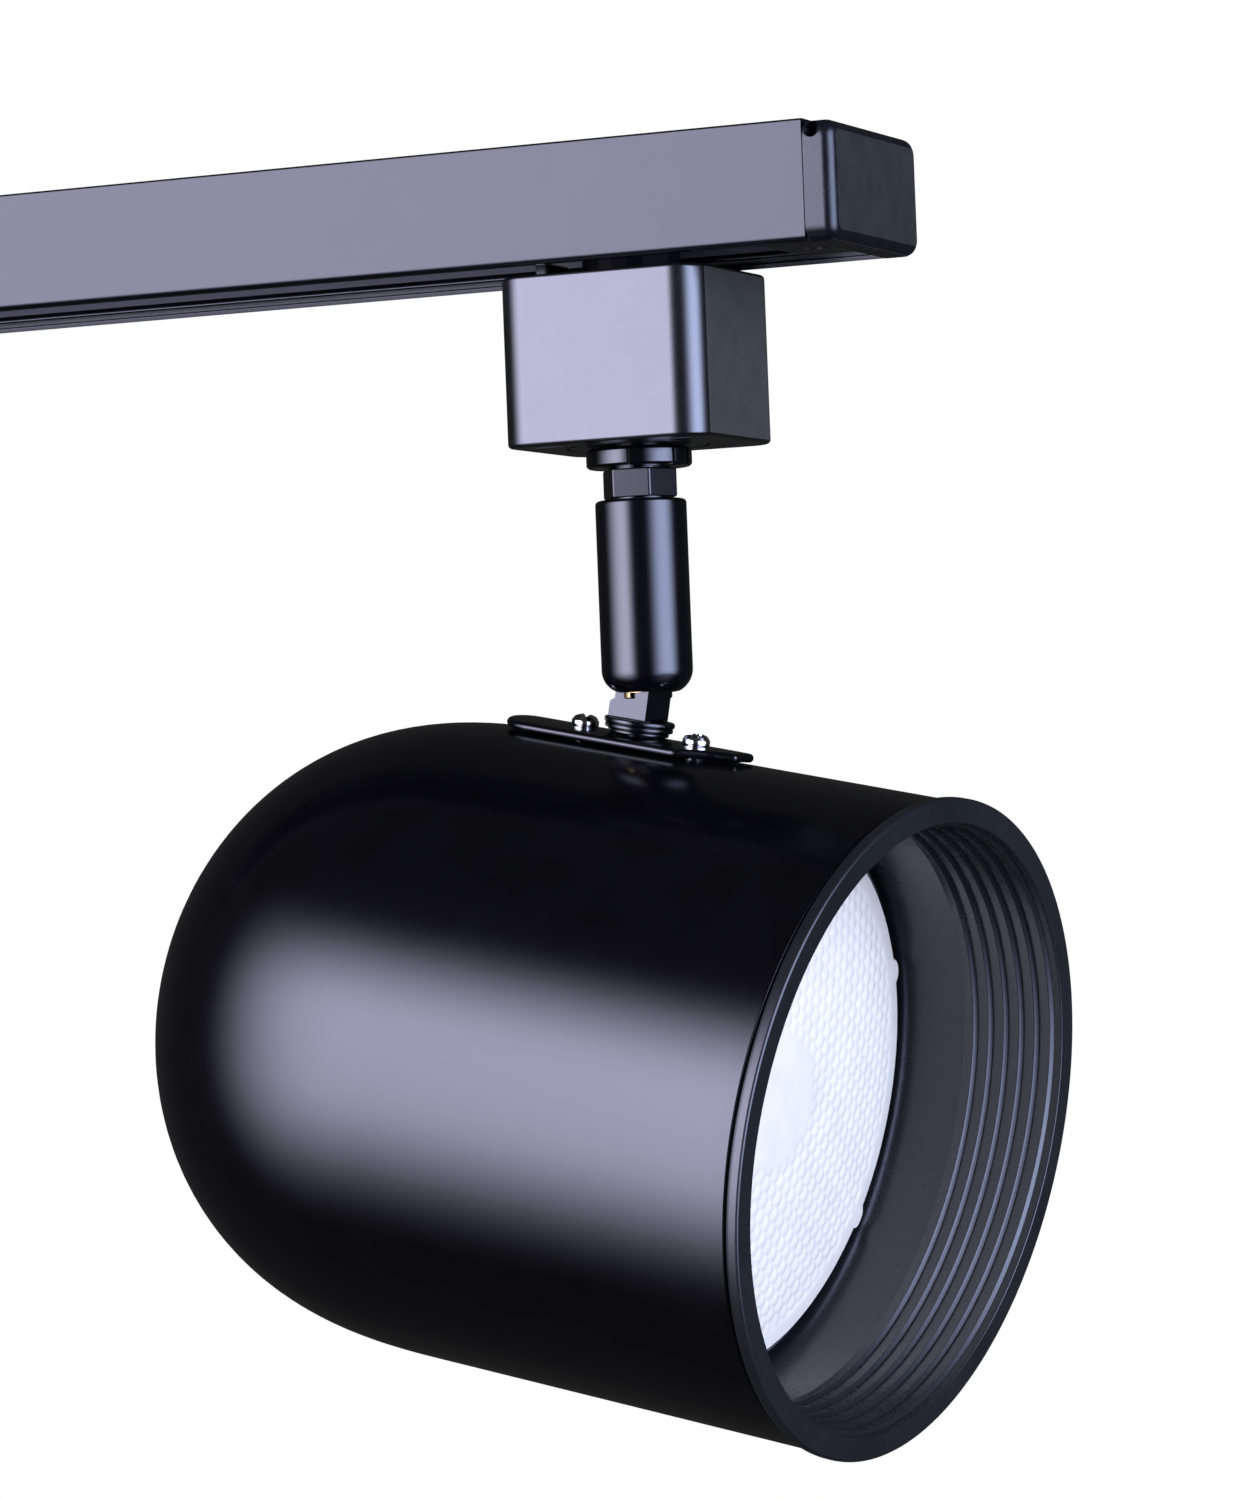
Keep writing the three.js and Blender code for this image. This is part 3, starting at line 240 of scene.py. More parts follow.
def tidy_mesh(mesh: bpy.types.Mesh) -> None:
    """Merges doubled points, turns the faces outwards and sets the shading.

    Args:
        mesh: The mesh that is put in order.
    """
    work = bmesh.new()
    work.from_mesh(mesh)
    bmesh.ops.remove_doubles(work, verts=work.verts, dist=1e-7)
    bmesh.ops.dissolve_degenerate(work, edges=work.edges, dist=1e-8)
    bmesh.ops.recalc_face_normals(work, faces=work.faces)
    work.to_mesh(mesh)
    work.free()
    mesh.shade_smooth()
    mesh.set_sharp_from_angle(angle=SMOOTH_ANGLE)


def lifted(axis: Axis, a: float, b: float, along: float) -> Triple:
    """A point from its place across an axis and along it."""
    return {Axis.X: (along, a, b), Axis.Y: (b, along, a), Axis.Z: (a, b, along)}[axis]


def revolve(name: str, outline: Sequence[Point], place: Matrix, axis: Axis = Axis.Z,
            sides: int = ROUND) -> bpy.types.Object:
    """A turned solid.

    Args:
        name: The object's name.
        outline: Points of (radius, along) that close on themselves, or start and end on the axis.
        place: The local frame's matrix.
        axis: The axis that the outline turns round.
        sides: How many steps one turn takes.

    Returns:
        The object.
    """
    rings: list[list[int]] = []
    vertices: list[Triple] = []
    for radius, along in outline:
        if radius < 1e-6:
            vertices.append(lifted(axis, 0, 0, along))
            rings.append([len(vertices) - 1] * sides)
            continue
        first = len(vertices)
        for i in range(sides):
            angle = 2 * math.pi * i / sides
            vertices.append(lifted(axis, radius * math.cos(angle), radius * math.sin(angle), along))
        rings.append(list(range(first, first + sides)))
    faces = []
    on_axis = outline[0][0] < 1e-6 and outline[-1][0] < 1e-6
    pairs = list(zip(rings, rings[1:]))
    if not on_axis:
        pairs.append((rings[-1], rings[0]))
    for ring_a, ring_b in pairs:
        for i in range(sides):
            j = (i + 1) % sides
            corner = [ring_a[i], ring_a[j], ring_b[j], ring_b[i]]
            face = list(dict.fromkeys(corner))
            if len(face) > 2:
                faces.append(face)
    return mesh_object(name, vertices, faces, place)


def loft(name: str, sections: Sequence[tuple[float, Sequence[Point]]], place: Matrix,
         axis: Axis = Axis.Z) -> bpy.types.Object:
    """A solid through outlines of equal length.

    Args:
        name: The object's name.
        sections: Each outline with its place along the axis.
        place: The local frame's matrix.
        axis: The axis that the sections lie across.

    Returns:
        The object.
    """
    vertices = [lifted(axis, a, b, along) for along, outline in sections for a, b in outline]
    count = len(sections[0][1])
    faces: list[list[int]] = [list(range(count - 1, -1, -1))]
    for k in range(len(sections) - 1):
        for i in range(count):
            j = (i + 1) % count
            faces.append([k * count + i, k * count + j, (k + 1) * count + j, (k + 1) * count + i])
    faces.append(list(range((len(sections) - 1) * count, len(sections) * count)))
    return mesh_object(name, vertices, faces, place)


def prism(name: str, outline: Sequence[Point], low: float, high: float, place: Matrix,
          axis: Axis = Axis.X) -> bpy.types.Object:
    """An outline pushed along one axis."""
    return loft(name, [(low, outline), (high, outline)], place, axis)


def pillow_levels(low: float, high: float, edge_low: float, edge_high: float, steps: int) -> list[Point]:
    """Places along an axis, each with how far the outline is pulled in there.

    Args:
        low: Where the solid starts.
        high: Where it ends.
        edge_low: The rounding of its first rim.
        edge_high: The rounding of its last rim.
        steps: Segments of each rounding.

    Returns:
        Pairs of place and inset.
    """
    turns = [math.pi / 2 * i / steps for i in range(steps + 1)]
    rise = [(low + edge_low * (1 - math.cos(t)), edge_low * (1 - math.sin(t))) for t in turns]
    fall = [(high - edge_high * (1 - math.cos(t)), edge_high * (1 - math.sin(t))) for t in reversed(turns)]
    return rise + fall


def pillow(name: str, low: Triple, high: Triple, corner: float, edge: float, place: Matrix,
           axis: Axis = Axis.Z, steps: int = 4, edge_low: float | None = None) -> bpy.types.Object:
    """A block with rounded corners round one axis and rounded rims at both its ends.

    Args:
        name: The object's name.
        low: Its lowest corner.
        high: Its highest corner.
        corner: The rounding of its corners round the axis.
        edge: The rounding of its rims.
        place: The local frame's matrix.
        axis: The axis that runs through both ends.
        steps: Segments of each rim's rounding.
        edge_low: The rounding of the first rim, where it isn't the same.

    Returns:
        The object.
    """
    order = {Axis.X: (1, 2, 0), Axis.Y: (2, 0, 1), Axis.Z: (0, 1, 2)}[axis]
    (a0, b0, c0), (a1, b1, c1) = ([v[i] for i in order] for v in (low, high))
    levels = pillow_levels(c0, c1, edge if edge_low is None else edge_low, edge, steps)
    sections = [(c, box_outline((a0, b0), (a1, b1), corner, inset)) for c, inset in levels]
    return loft(name, sections, place, axis)


def block(name: str, low: Triple, high: Triple, place: Matrix) -> bpy.types.Object:
    """A square cutter between two corners."""
    return prism(name, [(low[1], low[2]), (high[1], low[2]), (high[1], high[2]), (low[1], high[2])],
                 low[0], high[0], place)


def rod(name: str, radius: float, low: float, high: float, place: Matrix, axis: Axis = Axis.Z,
        centre: Triple = (0, 0, 0), sides: int = 64) -> bpy.types.Object:
    """A round cutter along an axis."""
    moved = place @ Matrix.Translation(centre)
    return revolve(name, [(0, low), (radius, low), (radius, high), (0, high)], moved, axis, sides)


def combined(body: bpy.types.Object, others: Sequence[bpy.types.Object], operation: str) -> bpy.types.Object:
    """The body joined to or cut by other solids, which are used up.

    Args:
        body: The solid that is changed.
        others: The solids that change it.
        operation: The boolean's name in Blender.

    Returns:
        The body.
    """
    for other in others:
        step = body.modifiers.new("shape", "BOOLEAN")
        step.operation = operation
        step.object = other
        step.solver = "EXACT"
    graph = bpy.context.evaluated_depsgraph_get()
    mesh = bpy.data.meshes.new_from_object(body.evaluated_get(graph))
    body.modifiers.clear()
    body.data = mesh
    for other in others:
        bpy.data.objects.remove(other)
    tidy_mesh(mesh)
    return body


def cut(body: bpy.types.Object, *cutters: bpy.types.Object) -> bpy.types.Object:
    """The body with the cutters taken away."""
    return combined(body, cutters, "DIFFERENCE")


def join(body: bpy.types.Object, *others: bpy.types.Object) -> bpy.types.Object:
    """One solid from several."""
    return combined(body, others, "UNION")


def tube(name: str, points: Sequence[Triple], radius: float, place: Matrix, sides: int = 20,
         steps: int = 14) -> bpy.types.Object:
    """A closed round tube along a smooth line through points.

    Args:
        name: The object's name.
        points: What the line passes through.
        radius: The tube's radius.
        place: The local frame's matrix.
        sides: How many sides the tube has.
        steps: Segments between two points.

    Returns:
        The object.
    """
    line = [Vector(p) for p in points]
    ends = [line[0] * 2 - line[1]] + line + [line[-1] * 2 - line[-2]]
    path: list[Vector] = []
    for a, b, c, d in zip(ends, ends[1:], ends[2:], ends[3:]):
        for i in range(steps):
            t = i / steps
            path.append(0.5 * (2 * b + (c - a) * t + (2 * a - 5 * b + 4 * c - d) * t * t
                               + (3 * b - a - 3 * c + d) * t ** 3))
    path.append(line[-1])
    across = (path[1] - path[0]).orthogonal().normalized()
    vertices: list[Vector] = []
    for i, point in enumerate(path):
        ahead = (path[min(i + 1, len(path) - 1)] - path[max(i - 1, 0)]).normalized()
        across = (across - ahead * across.dot(ahead)).normalized()
        beside = ahead.cross(across)
        for j in range(sides):
            angle = 2 * math.pi * j / sides
            vertices.append(point + radius * (across * math.cos(angle) + beside * math.sin(angle)))
    faces: list[list[int]] = [list(range(sides))]
    for i in range(len(path) - 1):
        for j in range(sides):
            k = (j + 1) % sides
            faces.append([i * sides + j, i * sides + k, (i + 1) * sides + k, (i + 1) * sides + j])
    faces.append(list(range((len(path) - 1) * sides, len(path) * sides)))
    return mesh_object(name, vertices, faces, place)


def wrapped(piece: bpy.types.Object, radius: float, axis_z: float, place: Matrix) -> bpy.types.Object:
    """A flat piece wrapped round a cylinder along X, its underside on the cylinder.

    Args:
        piece: The flat piece, in millimetres.
        radius: The cylinder's radius.
        axis_z: The height of the cylinder's axis in the local frame.
        place: The local frame's matrix.

    Returns:
        The piece.
    """
    work = bmesh.new()
    work.from_mesh(piece.data)
    reach = int(max(vertex.co.y for vertex in work.verts)) + 1
    for y in range(-reach, reach + 1):
        everything = [*work.verts, *work.edges, *work.faces]
        bmesh.ops.bisect_plane(work, geom=everything, plane_co=(0, y, 0), plane_no=(0, 1, 0))
    for vertex in work.verts:
        angle, out = vertex.co.y / radius, radius + vertex.co.z
        vertex.co = place @ Vector((vertex.co.x, out * math.sin(angle), axis_z + out * math.cos(angle)))
    work.to_mesh(piece.data)
    work.free()
    tidy_mesh(piece.data)
    return piece


# ---------------------------------------------------------------- shader maths

Value = Union["Signal", float, int]


class Signal:
    """A shader socket that takes part in Python expressions."""

    def __init__(self, tree: bpy.types.NodeTree, socket: bpy.types.NodeSocket) -> None:
        """Wraps one output socket of a tree."""
        self.tree = tree
        self.socket = socket

    def _math(self, operation: str, first: Value, second: Value = 0.0) -> "Signal":
        """One Math node on two values."""
        return Bench(self.tree).make("ShaderNodeMath", {"operation": operation}, {0: first, 1: second})

    def __add__(self, other: Value) -> "Signal":
        """Self plus other."""
        return self._math("ADD", self, other)

    __radd__ = __add__

    def __mul__(self, other: Value) -> "Signal":
        """Self times other."""
        return self._math("MULTIPLY", self, other)

    __rmul__ = __mul__

    def __sub__(self, other: Value) -> "Signal":
        """Self less other."""
        return self._math("SUBTRACT", self, other)

    def __rsub__(self, other: Value) -> "Signal":
        """Other less self."""
        return self._math("SUBTRACT", other, self)

    def arctan(self, other: Value) -> "Signal":
        """The angle of self over other, all the way round."""
        return self._math("ARCTAN2", self, other)

    def arcsin(self) -> "Signal":
        """The angle whose sine is self."""
        return self._math("ARCSINE", self)


class Bench:
    """Adds nodes to one tree."""

    def __init__(self, tree: bpy.types.NodeTree) -> None:
        """Works on the given tree."""
        self.tree = tree

    def make(self, kind: str, settings: dict | None = None, sockets: dict | None = None,
             output: int | str = 0) -> Signal:
        """Adds one node.

        Args:
            kind: The node's type.
            settings: Properties set before its sockets; stops builds a colour ramp.
            sockets: Values or signals by socket name or number.
            output: Which output the signal carries.

        Returns:
            The chosen output as a signal.
        """
        node = self.tree.nodes.new(kind)
        for key, value in (settings or {}).items():
            if key == "stops":
                self._ramp(node, value)
            else:
                setattr(node, key, value)
        for key, value in (sockets or {}).items():
            if isinstance(value, Signal):
                self.tree.links.new(value.socket, node.inputs[key])
            else:
                node.inputs[key].default_value = value
        return Signal(self.tree, node.outputs[output])

    @staticmethod
    def _ramp(node: bpy.types.Node, stops: Sequence[tuple[float, float]]) -> None:
        """Sets a ramp's grey stops.

        Args:
            node: The colour ramp.
            stops: Pairs of place and level.
        """
        elements = node.color_ramp.elements
        while len(elements) < len(stops):
            elements.new(0.5)
        for element, (where, level) in zip(elements, stops):
            element.position = where
            element.color = (level, level, level, 1)

    def mix(self, factor: Value, first: "Shade", second: "Shade") -> Signal:
        """A blend of two colours."""
        sockets = {0: factor, 6: solid_colour(first), 7: solid_colour(second)}
        return self.make("ShaderNodeMix", {"data_type": "RGBA"}, sockets, 2)

    def noise(self, scale: float, detail: float = 3, stretch: Triple = (1, 1, 1)) -> Signal:
        """Even noise fixed to the object.

        Args:
            scale: Repeats per metre.
            detail: How many finer layers it has.
            stretch: How its places are scaled along each axis.

        Returns:
            The noise, from 0 to 1.
        """
        where = self.make("ShaderNodeTexCoord", output="Object")
        moved = self.make("ShaderNodeVectorMath", {"operation": "MULTIPLY"}, {0: where, 1: stretch})
        return self.make("ShaderNodeTexNoise", None, {"Vector": moved, "Scale": scale, "Detail": detail})

    def ramp(self, value: Value, stops: Sequence[tuple[float, float]]) -> Signal:
        """A value passed through grey stops."""
        return self.make("ShaderNodeValToRGB", {"stops": stops}, {0: value})

    def bump(self, height: Value, strength: float, distance: float) -> Signal:
        """A surface raised by a height, in metres at full strength."""
        sockets = {"Height": height, "Strength": strength, "Distance": distance}
        return self.make("ShaderNodeBump", None, sockets)


Shade = Union[Signal, Triple, tuple[float, float, float, float]]


def solid_colour(shade: Shade) -> Shade:
    """A colour with its fourth number, or a signal as it is."""
    if isinstance(shade, Signal) or len(shade) == 4:
        return shade
    return (*shade, 1.0)


# ---------------------------------------------------------------- finishes


@dataclass(frozen=True)
class Finish:
    """A surface: its record slot, colours, gloss and grain."""

    slot: str
    colour: Triple
    second: Triple
    roughness: float
    spread: float = 0.05
    metallic: float = 0.0
    grain: float = 900.0
    relief: float = 0.00002
    specular: float = 0.5
    coat: float = 0.0
    stretch: Triple = (1, 1, 1)
    variant: str = "_finish"

    def material(self) -> bpy.types.Material:
        """The finish as a material, made once."""
        name = self.slot + self.variant
        found = bpy.data.materials.get(name)
        if found:
            return found
        made = bpy.data.materials.new(name)
        made.use_nodes = True
        made.diffuse_color = (*self.colour, 1)
        shader = made.node_tree.nodes["Principled BSDF"]
        bench = Bench(made.node_tree)
        shader.inputs["Metallic"].default_value = self.metallic
        shader.inputs["Specular IOR Level"].default_value = self.specular
        shader.inputs["Coat Weight"].default_value = self.coat
        shader.inputs["Coat Roughness"].default_value = 0.08
        self.dress(bench, shader)
        return made

    def dress(self, bench: Bench, shader: bpy.types.Node) -> None:
        """Links what varies over the surface: cloudy colour, gloss and fine relief."""
        cloud = bench.noise(self.grain / 14, 4, self.stretch)
        fine = bench.noise(self.grain, 2, self.stretch)
        patches = bench.ramp(cloud, [(0.3, 0), (0.7, 1)])
        gloss = self.roughness + (cloud - 0.5) * self.spread + (fine - 0.5) * self.spread
        feed(bench, shader, "Base Color", bench.mix(patches, self.colour, self.second))
        feed(bench, shader, "Roughness", gloss)
        feed(bench, shader, "Normal", bench.bump(fine, 0.35, self.relief))


def feed(bench: Bench, shader: bpy.types.Node, socket: str, signal: Signal) -> None:
    """Links a signal to a shader's socket."""
    bench.tree.links.new(signal.socket, shader.inputs[socket])


@dataclass(frozen=True)
class Sleeving(Finish):
    """Woven sleeving: two sets of threads that cross."""

    pitch: float = 2600.0

    def dress(self, bench: Bench, shader: bpy.types.Node) -> None:
        """Links a fine cross weave."""
        where = bench.make("ShaderNodeTexCoord", output="Object")
        settings = {"wave_type": "BANDS", "bands_direction": "DIAGONAL"}
        scale = self.pitch / 10
        over = bench.make("ShaderNodeTexWave", settings, {"Vector": where, "Scale": scale}, "Fac")
        flipped = bench.make("ShaderNodeVectorMath", {"operation": "MULTIPLY"}, {0: where, 1: (1, 1, -1)})
        under = bench.make("ShaderNodeTexWave", settings, {"Vector": flipped, "Scale": scale}, "Fac")
        weave = over * under
        feed(bench, shader, "Base Color", bench.mix(weave, self.second, self.colour))
        feed(bench, shader, "Roughness", self.roughness + weave * self.spread)
        feed(bench, shader, "Normal", bench.bump(weave, 0.5, self.relief))


TRACK_ENAMEL = Finish(
    "track_enamel", (0.002, 0.002, 0.003), (0.003, 0.003, 0.004), 0.2, 0.05,
    grain=1600, relief=0.000006, specular=0.38)
BLACK_ENAMEL = Finish(
    "black_enamel", (0.0012, 0.0012, 0.0016), (0.0018, 0.0018, 0.0024), 0.16, 0.03,
    grain=1500, relief=0.000004)
BAFFLE_ENAMEL = Finish(
    "baffle_enamel", (0.008, 0.009, 0.009), (0.013, 0.014, 0.014), 0.26, 0.1,
    grain=700, relief=0.00002)
BLACK_MOULDING = Finish(
    "black_moulding", (0.003, 0.003, 0.003), (0.004, 0.004, 0.004), 0.24, 0.05,
    grain=2200, relief=0.00001, specular=0.78)
GRAINED_MOULDING = Finish(
    "black_moulding", (0.003, 0.003, 0.004), (0.006, 0.006, 0.008), 0.26, 0.1,
    grain=3000, relief=0.00004, specular=0.34, variant="_grained")
SHADED_MOULDING = Finish(
    "black_moulding", (0.003, 0.003, 0.004), (0.004, 0.004, 0.005), 0.5, 0.1,
    grain=3000, specular=0.1, variant="_shaded")
# End-face copies of the black moulding. The matte grain and high roughness are real; the base colour, lighter than
# the rest of the moulding, is painted light on the faces that look along the track.
MATTE_LIT_MOULDING = Finish(
    "black_moulding", (0.026, 0.026, 0.020), (0.033, 0.033, 0.026), 0.7, 0.1,
    grain=3000, relief=0.00004, specular=0.2, variant="_matte")
MATTE_LIT_CAP = Finish(
    "black_moulding", (0.012, 0.0125, 0.010), (0.018, 0.019, 0.015), 0.7, 0.1,
    grain=3000, relief=0.00004, specular=0.2, variant="_matte_cap")
GLOSS_MOULDING = Finish(
    "black_moulding", (0.0014, 0.0014, 0.0018), (0.002, 0.002, 0.0026), 0.12, 0.06,
    grain=1800, relief=0.00002, variant="_gloss")
INSULATOR = Finish("insulator", (0.05, 0.05, 0.054), (0.07, 0.07, 0.075), 0.6)
COPPER = Finish("copper", (0.72, 0.36, 0.22), (0.55, 0.26, 0.16), 0.32, 0.12, 1.0, stretch=(0.05, 1, 1))
BRASS = Finish("brass", (0.78, 0.56, 0.26), (0.66, 0.45, 0.2), 0.26, 0.1, 1.0)
ZINC_STEEL = Finish("zinc_steel", (0.62, 0.63, 0.64), (0.5, 0.52, 0.55), 0.36, 0.12, 1.0)
BRIGHT_CHROME = Finish(
    "bright_chrome", (0.9, 0.89, 0.88), (0.82, 0.81, 0.8), 0.07, 0.03, 1.0, relief=0.000004)
PORCELAIN = Finish("porcelain", (0.84, 0.81, 0.74), (0.78, 0.75, 0.68), 0.16, 0.06, coat=0.4)
FROSTED_GLASS = Finish(
    "frosted_glass", (0.62, 0.58, 0.46), (0.67, 0.63, 0.50), 0.25, 0.06, grain=2600, relief=0.00001)
MIRRORED_GLASS = Finish(
    "mirrored_glass", (0.78, 0.79, 0.81), (0.7, 0.71, 0.74), 0.14, 0.05, 0.92, grain=400)
BLACK_SLEEVING = Sleeving("black_sleeving", (0.02, 0.02, 0.02), (0.045, 0.045, 0.045), 0.6, 0.15)
WHITE_SLEEVING = Sleeving("white_sleeving", (0.8, 0.79, 0.75), (0.6, 0.59, 0.55), 0.6, 0.15)
FINISHES = {row.slot: row for row in (
    TRACK_ENAMEL, BLACK_ENAMEL, BAFFLE_ENAMEL, SHADED_MOULDING, INSULATOR, COPPER, BRASS, ZINC_STEEL,
    BRIGHT_CHROME, PORCELAIN, FROSTED_GLASS, MIRRORED_GLASS, BLACK_SLEEVING, WHITE_SLEEVING)}


# ---------------------------------------------------------------- pieces


def dress(piece: bpy.types.Object, finish: Finish) -> None:
    """Gives a piece one finish all over."""
    piece.data.materials.clear()
    piece.data.materials.append(finish.material())


def settle(piece: bpy.types.Object, body: str, finish: Finish, *stands_for: str) -> bpy.types.Object:
    """Finishes a made piece and ties it to its CAD body and nodes.

    Args:
        piece: The made object.
        body: The CAD body that it moves with.
        finish: Its surface.
        stands_for: The CAD nodes that it is shown in place of.

    Returns:
        The piece.
    """
    dress(piece, finish)
    shading = piece.modifiers.new("shading", "WEIGHTED_NORMAL")
    shading.keep_sharp = True
    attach(piece, body)
    if stands_for:
        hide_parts(*stands_for)
    log.info("%s on %s, %d faces, %s", piece.name, body, len(piece.data.polygons), finish.slot)
    return piece


def dress_ends(piece: bpy.types.Object, finish: Finish) -> None:
    """Gives the faces that look along the track a matte copy of the finish, whose lighter colour is painted light.

    Args:
        piece: The piece, which has its first finish already.
        finish: The finish of its end faces: real matte roughness, with a lighter colour that is painted light.
    """
    facing = 0.97
    piece.data.materials.append(finish.material())
    for face in piece.data.polygons:
        face.material_index = int(abs(face.normal.x) > facing)


def dress_frame() -> None:
    """Gives every CAD node the finish that its record slot names."""
    for row in frame["record"]["subparts"]:
        node = frame["nodes"][row["node"]]
        dress(node, FINISHES[row["material_slot"]])
        log.info("%s keeps its CAD shape, %s", row["node"], row["material_slot"])


@dataclass
class TrackRun:
    """The length of power track and its end cap."""

    wall: float = 1.4
    web: float = 1.6
    lip: float = 0.9
    rib: float = 0.8
    rib_width: float = 1.1
    slot: float = 18.0
    hole_radius: float = 2.25
    hole_inset: float = 40.0
    hole_pitch: float = 140.0
    cap_corner: float = 2.9
    cap_edge: float = 2.1
    notch_radius: float = 1.35
    groove_depth: float = 0.3

    def channel(self) -> None:
        """The extruded channel with its rounded lower ribs and ceiling screw holes."""
        place = track_place()
        low, high = extent("track_channel", place)
        half, bottom, w = high.y, low.z, self.rib_width
        inner = half - self.wall
        under = bottom + self.rib
        floor = under + self.lip
        right: list[Corner] = [(self.slot / 2, floor, 0.35), (self.slot / 2, under, 0.35)]
        right += [(half - w, under, 0.15)]
        right += arc((half - w, bottom + w), w, -90, 0)
        right += [(half, 0, 0.45)]
        inside = [(inner, floor, 0.2), (inner, -self.web, 0.4)]
        outline = right + [(-corner[0], *corner[1:]) for corner in reversed(right)]
        outline += [(-y, z, r) for y, z, r in inside] + list(reversed(inside))
        body = prism("track_body", rounded(outline, 6), low.x, high.x, place)
        holes = [rod("hole", self.hole_radius, -4, 1, place,
                     centre=(low.x + self.hole_inset + i * self.hole_pitch, 0, 0)) for i in range(2)]
        settle(cut(body, *holes), "track", TRACK_ENAMEL, "track_channel")

    def cap(self) -> None:
        """The moulded cap: a plug with a tongue, and a rounded head with blind notches and two grooves."""
        place = track_place()
        low, high = extent("end_cap", place)
        track_low, track_high = extent("track_channel", place)
        screw_low, screw_high = extent("end_cap_screw", place)
        joint_x = track_high.x + 0.8
        under = track_low.z + self.rib
        plug_half = track_high.y - self.wall - GAP
        plug = pillow("cap_plug", (low.x, -plug_half, under + self.lip + GAP),
                      (joint_x, plug_half, -self.web - GAP), 0.6, 0.3, place, Axis.X)
        tongue_half = self.slot / 2 - GAP
        tongue = pillow("cap_tongue", (low.x, -tongue_half, under), (joint_x, tongue_half, under + 3),
                        0.4, 0.3, place, Axis.X)
        head = pillow("cap_head", (track_high.x + GAP, low.y, low.z), tuple(high), self.cap_corner,
                      self.cap_edge, place, Axis.X, 8, 0.3)
        notches = [rod("notch", self.notch_radius, side * 17.5 - 2.5, side * 17.5 + 2.5, place, Axis.Y,
                       (track_high.x + 2.0, 0, high.z - 1.6))
                   for side in (-1, 1)]
        grooves = [block("groove", (x - 0.17, low.y - PAST, low.z - PAST),
                         (x + 0.17, high.y + PAST, low.z + self.groove_depth), place)
                   for x in (high.x - 2.1, high.x - 1.3)]
        centre = ((screw_low.x + screw_high.x) / 2, 0, 0)
        shank = rod("screw_hole", 1.4, low.z - PAST, low.z + 8, place, centre=centre)
        seat = rod("head_hole", 2.5, low.z - PAST, under + 1.4, place, centre=centre)
        body = cut(join(plug, tongue, head), *notches, *grooves, shank, seat)
        settle(body, "track", GRAINED_MOULDING, "end_cap")
        # The cap's end faces get the lighter matte copy of the moulding, which is painted light.
        dress_ends(body, MATTE_LIT_CAP)

    def build(self) -> None:
        """Makes every track piece that the frame doesn't show well enough."""
        self.channel()
        self.cap()


